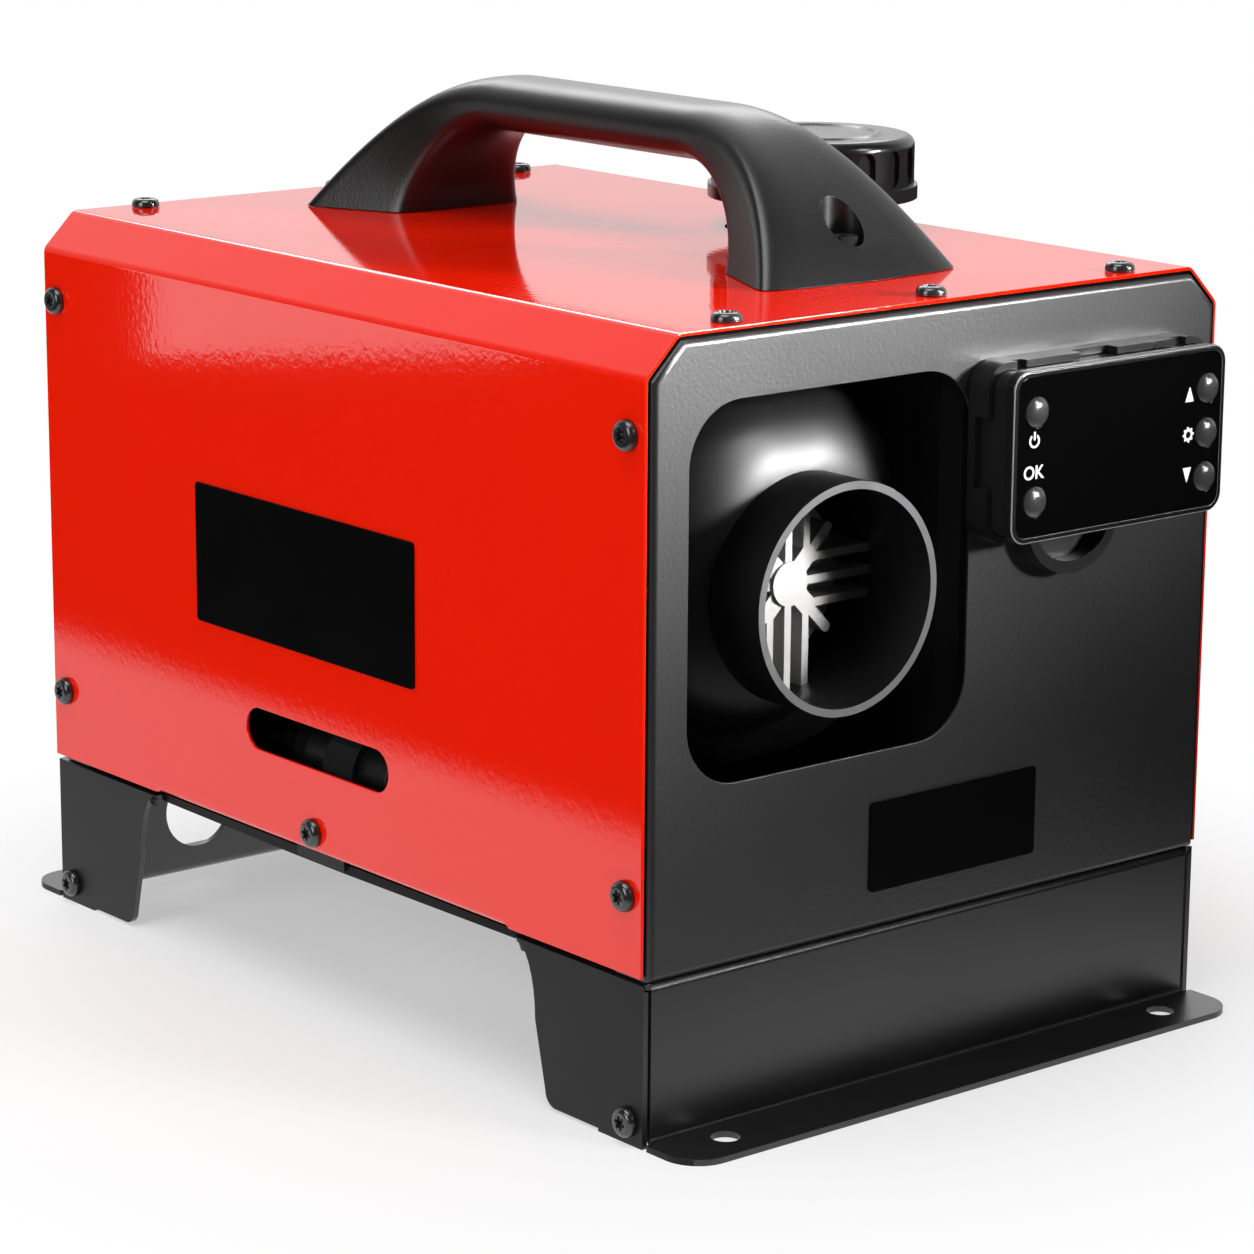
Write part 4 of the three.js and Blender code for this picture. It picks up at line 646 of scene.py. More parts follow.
exchanger = on_axis((CORE_FACE + CORE_HIGH.y) / 2, CORE_R, CORE_HIGH.y - CORE_FACE, 64)
exchanger.name = "exchanger_casting"
cut(exchanger, [on_axis((CORE_LOW.y + HUB_ROOT) / 2, HUB_R, HUB_ROOT - CORE_LOW.y, 48)], "UNION")
for quarter in range(4):
    turn = quarter * math.pi / 2
    for start, stop, aside, width, slant in (
        (ROOT, RIB_END, 0, RIB_T, 0),
        (SIDE_ROOT, RIB_END, RIB_PITCH, RIB_T, 0),
        (SIDE_ROOT, RIB_END, -RIB_PITCH, RIB_T, 0),
        (ROOT, WEB_END, 0, WEB_T, math.pi / 4),
        (ROOT, SHORT_END, 0, SHORT_T, math.pi / 4),
    ):
        cut(exchanger, [rib(start, stop, aside, width, turn + slant)], "UNION")
cut(exchanger, [block(
    "sole", (HEATER_X - SOLE_HALF, SOLE_FRONT, CORE_LOW.z), (HEATER_X + SOLE_HALF, SOLE_BACK, SOLE_TOP),
)], "UNION")
soften(exchanger, angle=40)
dress(exchanger, cast_metal, "cast_aluminium", "housing", "heat_exchanger")

# ------------------------------------------------------------- top cover
# The cover is one sheet of 1.2 mm steel folded over the box, its two long
# upper edges cut off at 45 degrees. The lower edges are hemmed inwards
# between the legs. It is powder coated gloss red.
COVER_LOW, COVER_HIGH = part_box("top_cover")
CHAMFER = 0.012
COVER_T = 0.0012
COVER_FOLD = 0.0014
HEM_END, HEM_W, HEM_FOLD, HEM_BAND = 0.095, 0.006, 0.0025, 0.003
SLOT_LOW, SLOT_HIGH, SLOT_R = (-0.130, -0.036, 0.0807), (-0.110, 0.042, 0.0947), 0.00695
CAP_X, CAP_Y = 0.070, -0.021
FILLER_HOLE_R = 0.029

red_coat = finish(
    "gloss_red_coat", (0.80, 0.011, 0.0), (0.77, 0.009, 0.0), 0.2,
    (0.05, 0.08), 0.0022, 0.000016, level=0.7, detail=1.0,
)


def hemmed(out):
    """The test for the lower edge between the legs, on the side that out gives."""
    def test(m, d):
        low_edge = near(m.z, COVER_LOW.z) and near(m.x, out * COVER_HIGH.x)
        return low_edge and abs(d.y) > 0.9 and abs(m.y) < HEM_END - 0.001
    return test


cover = block("cover_sheet", COVER_LOW, COVER_HIGH)
edit(cover)
pick(cover, "FACE", lambda m, n: abs(n.y) > 0.9 or n.z < -0.9)
bpy.ops.mesh.delete(type="FACE")
pick(cover, "EDGE", lambda m, d: abs(d.y) > 0.9 and near(m.z, COVER_HIGH.z))
bevel(CHAMFER, 1)
pick(cover, "EDGE", lambda m, d: abs(d.y) > 0.9 and m.z > COVER_HIGH.z - CHAMFER - EPS)
bevel(COVER_FOLD, 5)
for cut_at in (-HEM_END, HEM_END):
    bpy.ops.mesh.select_all(action="SELECT")
    bpy.ops.mesh.bisect(plane_co=(0, cut_at, 0), plane_no=(0, 1, 0))
for out in (-1, 1):
    pick(cover, "EDGE", hemmed(out))
    extrude(x=-out * HEM_W)
    pick(cover, "EDGE", hemmed(out))
    bevel(HEM_FOLD, 6)
done()
modify(cover, "SOLIDIFY", thickness=COVER_T, offset=-1, use_even_offset=True)
slot_tool = rounded_tool(SLOT_LOW, SLOT_HIGH, SLOT_R, "x")
cut(cover, [slot_tool, drill("z", (CAP_X, CAP_Y, COVER_HIGH.z), FILLER_HOLE_R, 0.02, 96)])
soften(cover, 0.00025)
dress(cover, red_coat, "red_coat", "housing", "top_cover")
# Painted shade: the cover's inner faces are dark, so that no red shows inside the box or in reflections
# there.
inside_shade = finish(
    "painted_inside_shade", (0.012, 0.012, 0.012), (0.018, 0.018, 0.018), 0.02,
    (0.6, 0.7), 0.0009, 0.00003, level=0.3,
)
cover.data.materials.append(inside_shade)
for face in cover.data.polygons:
    middle = face.center
    inner_side = abs(middle.x) < COVER_HIGH.x - COVER_T / 2 and middle.z < COVER_HIGH.z - COVER_T / 2
    faces_in = face.normal.x * middle.x < -0.001 or face.normal.z < -0.5
    if inner_side and faces_in and middle.z > COVER_LOW.z + HEM_BAND:
        face.material_index = 1

# ---------------------------------------------------------------- screws
# Button-head screws of blackened steel hold the cover to the panels and the
# legs to the aprons. Each has a six-lobed socket.
HEAD_R, HEAD_H, HEAD_ROUND = 0.0047, 0.0026, 0.0021
SHANK_R, SHANK_L = 0.0022, 0.006
SOCKET_R, SOCKET_L = 0.0015, 0.0032
LOBE_AT, LOBE_R = 0.0017, 0.0006

black_steel = finish(
    "black_oxide_steel", (0.012, 0.012, 0.013), (0.02, 0.02, 0.021), 0.006,
    (0.16, 0.26), 0.0006, 0.00001, level=0.9,
)
screw = drill("z", (0, 0, HEAD_H / 2), HEAD_R, HEAD_H)
edit(screw)
pick(screw, "EDGE", lambda m, d: near(m.z, HEAD_H))
bevel(HEAD_ROUND, 6, profile=0.55)
pick(screw, "FACE", lambda m, n: near(m.z, 0))
bpy.ops.mesh.inset(thickness=HEAD_R - SHANK_R)
extrude(z=-SHANK_L)
done()
socket = drill("z", (0, 0, HEAD_H), SOCKET_R, SOCKET_L, 24)
for step in range(6):
    turn = step * math.pi / 3
    lobe_at = (LOBE_AT * math.cos(turn), LOBE_AT * math.sin(turn), HEAD_H)
    cut(socket, [drill("z", lobe_at, LOBE_R, SOCKET_L, 12)], "UNION")
cut(screw, [socket])
soften(screw, 0.00012)
for node in sorted(name for name in frame["nodes"] if name.startswith("screw_")):
    low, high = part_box(node)
    middle = (low + high) / 2
    if "_top_" in node:
        turn = Matrix.Identity(4)
        seat = Vector((middle.x, middle.y, high.z - HEAD_H))
    elif "_left_" in node:
        turn = Matrix.Rotation(-math.pi / 2, 4, "Y")
        seat = Vector((low.x + HEAD_H, middle.y, middle.z))
    else:
        turn = Matrix.Rotation(math.pi / 2, 4, "Y")
        seat = Vector((high.x - HEAD_H, middle.y, middle.z))
    one = screw.copy()
    one.data = screw.data.copy()
    one.name = "button_" + node
    bpy.context.collection.objects.link(one)
    # No two sockets come to rest at the same angle.
    twist = Matrix.Rotation(middle.y * 40 + middle.x * 17, 4, "Z")
    one.data.transform(Matrix.Translation(seat) @ turn @ twist)
    dress(one, black_steel, "black_steel", "housing", node)
bpy.data.objects.remove(screw, do_unlink=True)

# ---------------------------------------------------------------- handle
# A bridge handle of thick moulded plastic stands on two flared feet. Each
# foot has a deep round pocket for its bolt, and the skin has a fine grain.
HANDLE_X = 0.004
HANDLE_Y = 0.002
HANDLE_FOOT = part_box("handle")[0].z
HANDLE_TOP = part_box("handle")[1].z
GRIP_T = 0.018
GRIP_HALF_W = 0.017
GRIP_HALF = 0.050
HANDLE_HALF = 0.125
FOOT_LENGTH = 0.042
FOOT_FLARE, FOOT_SWELL, INNER_FLARE = 0.0245, 0.005, 0.008
KNUCKLE = 0.030
GRIP_POWER, FOOT_POWER = 2.6, 11
POCKET_Y, POCKET_R = 0.110, 0.0069
POCKET_FLOOR, POCKET_L = 0.2488, 0.040
BORE_Z, BORE_R, BORE_L = 0.246, 0.0033, 0.02

grained_plastic = finish(
    "leather_grained_plastic", (0.0035, 0.0036, 0.0038), (0.0050, 0.0051, 0.0053), 0.05,
    (0.29, 0.35), 0.00075, 0.00005, level=0.6, detail=1.5,
)


def handle_ring(share, end, count):
    """One ring of the bridge, from its foot at share 0 to the level grip at 1."""
    fall = 1 - share
    quarter = share * math.pi / 2
    inner_end = HANDLE_HALF - FOOT_LENGTH
    outer_y = GRIP_HALF + (HANDLE_HALF - GRIP_HALF) * fall
    outer_z = HANDLE_TOP - (HANDLE_TOP - HANDLE_FOOT) * fall * fall
    inner_y = inner_end - KNUCKLE + KNUCKLE * math.cos(quarter)
    inner_y += (GRIP_HALF + KNUCKLE - inner_end) * share
    inner_z = HANDLE_FOOT + (HANDLE_TOP - GRIP_T - HANDLE_FOOT) * math.sin(quarter)
    outer_half = GRIP_HALF_W + FOOT_FLARE * fall ** 2.3
    inner_half = GRIP_HALF_W + INNER_FLARE * fall ** 1.5
    power = 2 / (GRIP_POWER + FOOT_POWER * fall * fall)
    ring = []
    for step in range(count):
        angle = 2 * math.pi * step / count
        across = math.copysign(abs(math.sin(angle)) ** power, math.sin(angle))
        along = 0.5 - 0.5 * math.copysign(abs(math.cos(angle)) ** power, math.cos(angle))
        half = outer_half + (inner_half - outer_half) * along
        swell = -FOOT_SWELL * fall ** 3 * across * across * (1 - along)
        y = outer_y + (inner_y - outer_y) * along + swell
        z = outer_z + (inner_z - outer_z) * along
        ring.append((HANDLE_X + across * half, HANDLE_Y + end * y, z))
    return ring


RING_POINTS = 96
STEPS = 36
shares = [step / STEPS for step in range(STEPS + 1)]
rings = [handle_ring(share, -1, RING_POINTS) for share in shares]
rings += [handle_ring(share, 1, RING_POINTS) for share in reversed(shares)]
bridge = bmesh.new()
rows = [[bridge.verts.new(point) for point in ring] for ring in rings]
for row, following in zip(rows, rows[1:]):
    for i in range(RING_POINTS):
        j = (i + 1) % RING_POINTS
        bridge.faces.new((row[i], row[j], following[j], following[i]))
bridge.faces.new(rows[0])
bridge.faces.new(reversed(rows[-1]))
bmesh.ops.recalc_face_normals(bridge, faces=bridge.faces)
handle_mesh = bpy.data.meshes.new("bridge_handle")
bridge.to_mesh(handle_mesh)
bridge.free()
handle = bpy.data.objects.new("bridge_handle", handle_mesh)
bpy.context.collection.objects.link(handle)
for z, radius, length, sides in (
    (POCKET_FLOOR + POCKET_L / 2, POCKET_R, POCKET_L, 64), (BORE_Z, BORE_R, BORE_L, 24),
):
    ends = [(HANDLE_X, HANDLE_Y + end * POCKET_Y, z) for end in (-1, 1)]
    cut(handle, [drill("z", place, radius, length, sides) for place in ends])
soften(handle, 0.0004, 45)
dress(handle, grained_plastic, "grained_plastic", "housing", "handle")

# ---------------------------------------------------------------- labels
# Two bare labels of black film, one on the left side and one under the
# outlet. Their corners are slightly rounded.
LABEL_CORNER = 0.0015
label_film = finish(
    "satin_label_film", (0.0022, 0.0022, 0.0024), (0.0032, 0.0032, 0.0034), 0.03,
    (0.14, 0.18), 0.0012, 0.000006, level=0.03,
)
for node, axis in (("side_label", "x"), ("front_label", "y")):
    low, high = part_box(node)
    label = block(node + "_film", low, high)
    edit(label)
    pick(label, "EDGE", lambda m, d: abs(getattr(d, axis)) > 0.9)
    bevel(LABEL_CORNER, 5)
    done()
    soften(label, 0.00012)
    dress(label, label_film, "label_film", "housing", node)

# ------------------------------------------------------------ filler cap
# The tank's screw cap is moulded in gloss black with eighteen grip flutes
# over a plain brim. A raised ring surrounds the middle of its top.
CAP_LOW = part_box("filler_cap")[0].z
CAP_H, CAP_R, CAP_ROUND = 0.021, 0.0338, 0.0035
BRIM_R, BRIM_H = 0.035, 0.0045
THREAD_R, THREAD_L, THREAD_UP = 0.0286, 0.0121, 0.0059
# The top's raised ring, as steps inwards and upwards from the rounded edge.
TOP_RING = ((0.0072, 0.0), (0.0008, 0.0006), (0.0016, 0.0), (0.0007, -0.0005))
FLUTES = 18
FLUTE_IN, FLUTE_OUT, FLUTE_HALF_W, FLUTE_R = 0.0017, 0.003, 0.0031, 0.0029
FLUTE_LOW, FLUTE_HIGH = BRIM_H + 0.0008, BRIM_H + 0.0128

gloss_plastic = finish(
    "gloss_black_plastic", (0.006, 0.006, 0.0065), (0.008, 0.008, 0.0085), 0.02,
    (0.2, 0.28), 0.0015, 0.00001,
)
cap = drill("z", (CAP_X, CAP_Y, CAP_LOW + CAP_H / 2), CAP_R, CAP_H, 144)
cap.name = "screw_cap"
edit(cap)
pick(cap, "EDGE", lambda m, d: near(m.z, CAP_LOW + CAP_H))
bevel(CAP_ROUND, 7)
pick(cap, "FACE", lambda m, n: near(m.z, CAP_LOW + CAP_H) and n.z > 0.99)
for inwards, upwards in TOP_RING:
    bpy.ops.mesh.inset(thickness=inwards)
    bpy.ops.transform.translate(value=(0, 0, upwards))
done()
cut(cap, [drill("z", (CAP_X, CAP_Y, CAP_LOW + BRIM_H / 2), BRIM_R, BRIM_H, 144)], "UNION")
cut(cap, [drill("z", (CAP_X, CAP_Y, CAP_LOW + THREAD_UP), THREAD_R, THREAD_L, 96)])
flutes = []
for step in range(FLUTES):
    turn = 2 * math.pi * step / FLUTES
    flute = rounded_tool(
        (CAP_R - FLUTE_IN, -FLUTE_HALF_W, CAP_LOW + FLUTE_LOW),
        (CAP_R + FLUTE_OUT, FLUTE_HALF_W, CAP_LOW + FLUTE_HIGH), FLUTE_R, "x",
    )
    flute.data.transform(Matrix.Translation((CAP_X, CAP_Y, 0)) @ Matrix.Rotation(turn, 4, "Z"))
    flutes.append(flute)
cut(cap, flutes)
soften(cap, angle=40)
dress(cap, gloss_plastic, "gloss_plastic", "cap", "filler_cap")

# ------------------------------------------------------------ controller
# The hand controller sits in a clip-on cradle on the front panel: a cradle
# with wrapped corners and a hook under it, a slim case, a bevelled frame
# round black glass, and five domed keys with printed signs beside them.
CASE_LOW, CASE_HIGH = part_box("display_shell")
FRAME_LOW, FRAME_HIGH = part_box("display_bezel")
GLASS_LOW, GLASS_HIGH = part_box("display_glass")
CRADLE_LOW, CRADLE_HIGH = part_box("display_cradle")
SEAT = CRADLE_HIGH.y
CRADLE_D, CRADLE_LIP, CRADLE_R = 0.0085, 0.0025, 0.0075
AROUND, AROUND_R, AROUND_BACK = 0.0003, 0.0052, 0.0031
BEFORE = -0.18
# Each notch in the cradle's rim: its two corners in X and Z, and what is left
# of the cradle's depth behind it.
NOTCHES = (
    ((0.0, 0.1845), (0.0105, 0.2065), 0.0029),
    ((0.1000, 0.1845), (0.106, 0.2065), 0.0029),
    ((0.0195, 0.2195), (0.0235, 0.225), 0.006),
    ((0.0465, 0.2195), (0.0625, 0.225), 0.004),
    ((0.0880, 0.2195), (0.0930, 0.225), 0.006),
    ((0.0250, 0.160), (0.0860, 0.1695), 0.006),
)
HOOK_X, HOOK_Z, HOOK_D, HOOK_TOP = 0.0484, 0.1700, 0.006, 0.1688
HOOK_OUTER, HOOK_INNER = (19.5, 16.8), (16.0, 13.0)
CASE_R, CASE_WALL, CASE_INNER_R = 0.0048, 0.002, 0.003
SLITS, SLIT_X, SLIT_PITCH, SLIT_W = 5, 0.084, 0.0026, 0.0012
SLIT_FRONT, SLIT_BACK = -0.1745, -0.1722

satin_plastic = finish(
    "satin_black_plastic", (0.0075, 0.0076, 0.008), (0.0095, 0.0096, 0.01), 0.03,
    (0.26, 0.36), 0.0008, 0.000015,
)
frame_plastic = finish(
    "polished_frame_plastic", (0.006, 0.006, 0.0063), (0.008, 0.008, 0.0083), 0.03,
    (0.16, 0.22), 0.0012, 0.000008,
)
dark_glass = finish(
    "black_glass", (0.0012, 0.0012, 0.0013), (0.0016, 0.0016, 0.0017), 0.04,
    (0.05, 0.08), 0.004, 0.000002, level=0.25,
)
key_plastic = finish(
    "grey_keys", (0.026, 0.026, 0.027), (0.036, 0.036, 0.037), 0.004,
    (0.18, 0.24), 0.0008, 0.000008, level=1.0,
)
printed = finish(
    "printed_white", (0.82, 0.82, 0.82), (0.88, 0.88, 0.88), 0.002,
    (0.4, 0.5), 0.0004, 0.000004,
)

cradle = rounded_tool(
    (CRADLE_LOW.x, SEAT - CRADLE_D, CASE_LOW.z - CRADLE_LIP),
    (CRADLE_HIGH.x, SEAT, CRADLE_HIGH.z), CRADLE_R, "y",
)
cradle.name = "controller_cradle"
cut(cradle, [rounded_tool(
    (CASE_LOW.x - AROUND, BEFORE, CASE_LOW.z - AROUND),
    (CASE_HIGH.x + AROUND, SEAT - AROUND_BACK, CASE_HIGH.z + AROUND), AROUND_R, "y",
)])
for (left, bottom), (right, top), depth_left in NOTCHES:
    cut(cradle, [block("notch", (left, BEFORE, bottom), (right, SEAT - depth_left, top))])


def oval(half_width, half_height, length):
    """A flat oval at the hook's middle, its half sizes given in millimetres."""
    tool = drill("y", (HOOK_X, SEAT - HOOK_D / 2, HOOK_Z), 0.001, length, 96)
    middle = Matrix.Translation((HOOK_X, 0, HOOK_Z))
    tool.data.transform(middle @ Matrix.Diagonal((half_width, 1, half_height, 1)) @ middle.inverted())
    return tool


hook = oval(*HOOK_OUTER, HOOK_D)
cut(hook, [oval(*HOOK_INNER, 0.02)])
cut(hook, [block("above_hook", (0.02, BEFORE, HOOK_TOP), (0.08, -0.15, 0.19))])
cut(cradle, [hook], "UNION")
soften(cradle, 0.0004, 40)
dress(cradle, satin_plastic, "case_plastic", "housing", "display_cradle")

shell = rounded_tool(CASE_LOW, CASE_HIGH, CASE_R, "y")
shell.name = "controller_case"
cut(shell, [rounded_tool(
    (CASE_LOW.x + CASE_WALL, BEFORE - 0.01, CASE_LOW.z + CASE_WALL),
    (CASE_HIGH.x - CASE_WALL, CASE_HIGH.y - CASE_WALL, CASE_HIGH.z - CASE_WALL), CASE_INNER_R, "y",
)])
slits = []
for step in range(SLITS):
    x, top = SLIT_X + step * SLIT_PITCH, CASE_HIGH.z
    slits.append(block("slit", (x, SLIT_FRONT, top - 0.003), (x + SLIT_W, SLIT_BACK, top + 0.001)))
cut(shell, slits)
soften(shell, angle=40)
dress(shell, satin_plastic, "case_plastic", "housing", "display_shell")

RIM_W, FRAME_R, FRAME_INNER_R, FRAME_BEVEL = 0.00185, 0.006, 0.0041, 0.0009
bezel = rounded_tool(FRAME_LOW, FRAME_HIGH, FRAME_R, "y")
bezel.name = "controller_frame"
edit(bezel)
pick(bezel, "EDGE", lambda m, d: near(m.y, FRAME_LOW.y))
bevel(FRAME_BEVEL, 3)
done()
cut(bezel, [rounded_tool(
    (FRAME_LOW.x + RIM_W, FRAME_LOW.y - 0.01, FRAME_LOW.z + RIM_W),
    (FRAME_HIGH.x - RIM_W, FRAME_HIGH.y + 0.01, FRAME_HIGH.z - RIM_W), FRAME_INNER_R, "y",
)])
soften(bezel, 0.0002, 40)
dress(bezel, frame_plastic, "gloss_plastic", "housing", "display_bezel")
# Painted highlight: the frame's sloped front bevel is lighter grey and stands for its sheen.
bevel_highlight = finish(
    "painted_bevel_highlight", (0.22, 0.22, 0.222), (0.27, 0.27, 0.272), 0.02,
    (0.2, 0.3), 0.0012, 0.000008, level=0.9,
)
bezel.data.materials.append(bevel_highlight)
for face in bezel.data.polygons:
    if -0.9 < face.normal.y < -0.3 and face.center.y < FRAME_LOW.y + FRAME_BEVEL:
        face.material_index = 1

KEYS = [name for name in frame["nodes"] if name.startswith("button_")]
GLASS_R = 0.0038
WELL_Y, WELL_R = -0.179, 0.00505
KEY_R, KEY_BODY, KEY_STEM_IN = 0.00465, 0.0036, 0.0024
KEY_INSET, INSET_SHARES = 0.0008, (0.93, 0.85, 0.8, 0.7, 0.55)
DOME_H, DOME_FALL, DOME_SCALE = 0.0016, 0.96, 0.8


def key_centre(node):
    """A key's middle in X and Z."""
    low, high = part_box(node)
    return (low.x + high.x) / 2, (low.z + high.z) / 2


glass = rounded_tool(GLASS_LOW, GLASS_HIGH, GLASS_R, "y")
glass.name = "controller_glass"
centres = [key_centre(node) for node in KEYS]
cut(glass, [drill("y", (x, WELL_Y, z), WELL_R, 0.01, 48) for x, z in centres])
soften(glass, 0.00015, 40)
dress(glass, dark_glass, "black_glass", "housing", "display_glass")

for node, (x, z) in zip(KEYS, centres):
    low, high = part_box(node)
    key = drill("y", (x, low.y + KEY_BODY / 2, z), KEY_R, KEY_BODY, 48)
    key.name = "key_" + node.removeprefix("button_")
    edit(key)
    pick(key, "FACE", lambda m, n: n.y < -0.9)
    for share in INSET_SHARES:
        bpy.ops.mesh.inset(thickness=KEY_INSET * share)
    pick(key, "VERT", lambda v, n: near(v.y, low.y))
    dome = bmesh.from_edit_mesh(key.data)
    for vert in dome.verts:
        if vert.select:
            reach = min(1.0, math.hypot(vert.co.x - x, vert.co.z - z) / KEY_R)
            drop = (1 - math.sqrt(1 - DOME_FALL * reach * reach)) / DOME_SCALE
            vert.co.y = low.y + DOME_H * drop
    bmesh.update_edit_mesh(key.data)
    pick(key, "FACE", lambda m, n: n.y > 0.9)
    bpy.ops.mesh.inset(thickness=KEY_STEM_IN)
    extrude(y=high.y - low.y - KEY_BODY)
    done()
    only(key)
    bpy.ops.object.shade_smooth_by_angle(angle=math.radians(35))
    dress(key, key_plastic, "gloss_plastic", node.removeprefix("button_") + "_key", node)

# --------------------------------------------------------- printed signs
# The signs are printed on the glass: a power sign and OK on the left, two
# triangles and a gear on the right. Each is a thin layer of white ink.
INK_BACK = GLASS_LOW.y
INK = 0.00005
SIGN_X, SIGN_Z, SIGN_BESIDE = -0.0006, 0.0088, -0.0078
RING_OUT, RING_IN, RING_FROM, RING_TO = 0.0022, 0.0015, 125, 415
BAR_HALF, BAR_LOW, BAR_HIGH = 0.00035, 0.0002, 0.0028
ARROW_HALF_W, ARROW_HALF_H = 0.0019, 0.0024
TEETH, TOOTH_R, GAP_R, GEAR_BORE = 8, 0.0025, 0.0019, 0.0011
LETTER_SIZE, LETTER_WEIGHT = 0.0058, 0.00008


def ink(name, outline, centre, hole=None):
    """A thin printed shape on the glass from an outline of (x, z) points."""
    shape = bmesh.new()
    rims = [outline] if hole is None else [outline, hole]
    loops = [[shape.verts.new((centre[0] + x, INK_BACK, centre[1] + z)) for x, z in rim] for rim in rims]
    count = len(loops[0])
    if hole is None:
        shape.faces.new(loops[0])
    else:
        for i in range(count):
            j = (i + 1) % count
            shape.faces.new((loops[0][i], loops[0][j], loops[1][j], loops[1][i]))
    grown = bmesh.ops.extrude_face_region(shape, geom=list(shape.faces))
    moved = [item for item in grown["geom"] if isinstance(item, bmesh.types.BMVert)]
    bmesh.ops.translate(shape, verts=moved, vec=(0, -INK, 0))
    bmesh.ops.recalc_face_normals(shape, faces=shape.faces)
    mesh = bpy.data.meshes.new(name)
    shape.to_mesh(mesh)
    shape.free()
    sign = bpy.data.objects.new(name, mesh)
    bpy.context.collection.objects.link(sign)
    dress(sign, printed, "black_glass", "housing")
    return sign


def round_points(radius, first, last, count):
    """Points along an arc, from the first to the last angle in degrees."""
    turns = [math.radians(first + (last - first) * i / count) for i in range(count + 1)]
    return [(radius * math.cos(turn), radius * math.sin(turn)) for turn in turns]


key_x, key_z = key_centre("button_power")
power_at = (key_x + SIGN_X, key_z - SIGN_Z)
power_ring = round_points(RING_OUT, RING_FROM, RING_TO, 24) + round_points(RING_IN, RING_TO, RING_FROM, 24)
ink("sign_power_ring", power_ring, power_at)
ink("sign_power_bar", [
    (-BAR_HALF, BAR_LOW), (BAR_HALF, BAR_LOW), (BAR_HALF, BAR_HIGH), (-BAR_HALF, BAR_HIGH),
], power_at)
for node, way in (("button_up", 1), ("button_down", -1)):
    key_x, key_z = key_centre(node)
    tip, foot_z = ARROW_HALF_H * way, -ARROW_HALF_H * way
    corners = [(-ARROW_HALF_W, foot_z), (ARROW_HALF_W, foot_z), (0, tip)]
    ink("sign_" + node.removeprefix("button_"), corners, (key_x + SIGN_BESIDE, key_z - tip / 2))
key_x, key_z = key_centre("button_settings")
tooth_ring = []
for step in range(TEETH * 4):
    turn = 2 * math.pi * step / (TEETH * 4)
    radius = TOOTH_R if step % 4 in (0, 1) else GAP_R
    tooth_ring.append((radius * math.cos(turn), radius * math.sin(turn)))
gear_bore = round_points(GEAR_BORE, 0, 360 - 360 / (TEETH * 4), TEETH * 4 - 1)
ink("sign_settings", tooth_ring, (key_x + SIGN_BESIDE, key_z), gear_bore)

key_x, key_z = key_centre("button_ok")
ok_at = (key_x + SIGN_X, INK_BACK, key_z + SIGN_Z)
bpy.ops.object.text_add(rotation=(math.pi / 2, 0, 0), location=ok_at)
letters = bpy.context.object
letters.data.body = "OK"
letters.data.size = LETTER_SIZE
letters.data.align_x = "CENTER"
letters.data.align_y = "CENTER"
letters.data.extrude = INK
letters.data.offset = LETTER_WEIGHT
only(letters)
bpy.ops.object.convert(target="MESH")
letters = added("sign_ok")
dress(letters, printed, "black_glass", "housing")

# ------------------------------------------------- rear intake and gland
# At the rear the casing ends in a round intake with a moulded grille. The
# supply lead enters through a nylon gland with a hexagon and a domed nut.
GRILLE_LOW, GRILLE_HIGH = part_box("intake_grille")
INTAKE_R = 0.0385
INTAKE_BORE = 0.036
INTAKE_SHELL_END, INTAKE_CORNER, INTAKE_WALL = 0.1417, 0.035, 0.0025
RING_Y, RING_L = 0.150, 0.018
BAR = 0.0015
BAR_FRONT, BAR_BACK = 0.1539, 0.1569
HOOP_Y, HOOP_L = 0.1554, 0.003

grille = block("intake_shell", GRILLE_LOW, (GRILLE_HIGH.x, INTAKE_SHELL_END, GRILLE_HIGH.z))
edit(grille)
pick(grille, "EDGE", lambda m, d: abs(d.y) > 0.9)
bevel(INTAKE_CORNER, 12)
pick(grille, "FACE", lambda m, n: n.y < -0.9)
bpy.ops.mesh.delete(type="FACE")
done()
modify(grille, "SOLIDIFY", thickness=INTAKE_WALL, offset=-1, use_even_offset=True)
cut(grille, [on_axis(RING_Y, INTAKE_R, RING_L)], "UNION")
cut(grille, [on_axis(RING_Y, INTAKE_BORE, 0.040)])
for step in range(4):
    bar = block("bar", (-INTAKE_BORE - 0.001, BAR_FRONT, -BAR), (INTAKE_BORE + 0.001, BAR_BACK, BAR))
    bar.data.transform(Matrix.Rotation(step * math.pi / 4, 4, "Y"))
    bar.data.transform(Matrix.Translation((HEATER_X, 0, HEATER_Z)))
    cut(grille, [bar], "UNION")
for share in (0.34, 0.68):
    hoop = on_axis(HOOP_Y, INTAKE_BORE * share + BAR, HOOP_L, 96)
    cut(hoop, [on_axis(HOOP_Y, INTAKE_BORE * share - BAR, 0.01, 96)])
    cut(grille, [hoop], "UNION")
soften(grille, 0.0004, 40)
dress(grille, hood_plastic, "case_plastic", "housing", "intake_grille")

gland_low, gland_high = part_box("cable_gland")
gland_x = (gland_low.x + gland_high.x) / 2
gland_z = (gland_low.z + gland_high.z) / 2
HEXAGON_R = 0.0108
OUTER_HEXAGON_L, INNER_HEXAGON_L = 0.0038, 0.006
NUT_R, NUT_L, NUT_ROUND = 0.0092, 0.0104, 0.004
HEXAGON_MIDDLE, NUT_MIDDLE = 0.0022, 0.0088
NECK_R, NECK_L = 0.0077, 0.003
LEAD_R = 0.0035


def gland_bar(y, radius, length, sides=32):
    """A round or six-sided bar on the gland's axis."""
    return drill("y", (gland_x, y, gland_z), radius, length, sides)


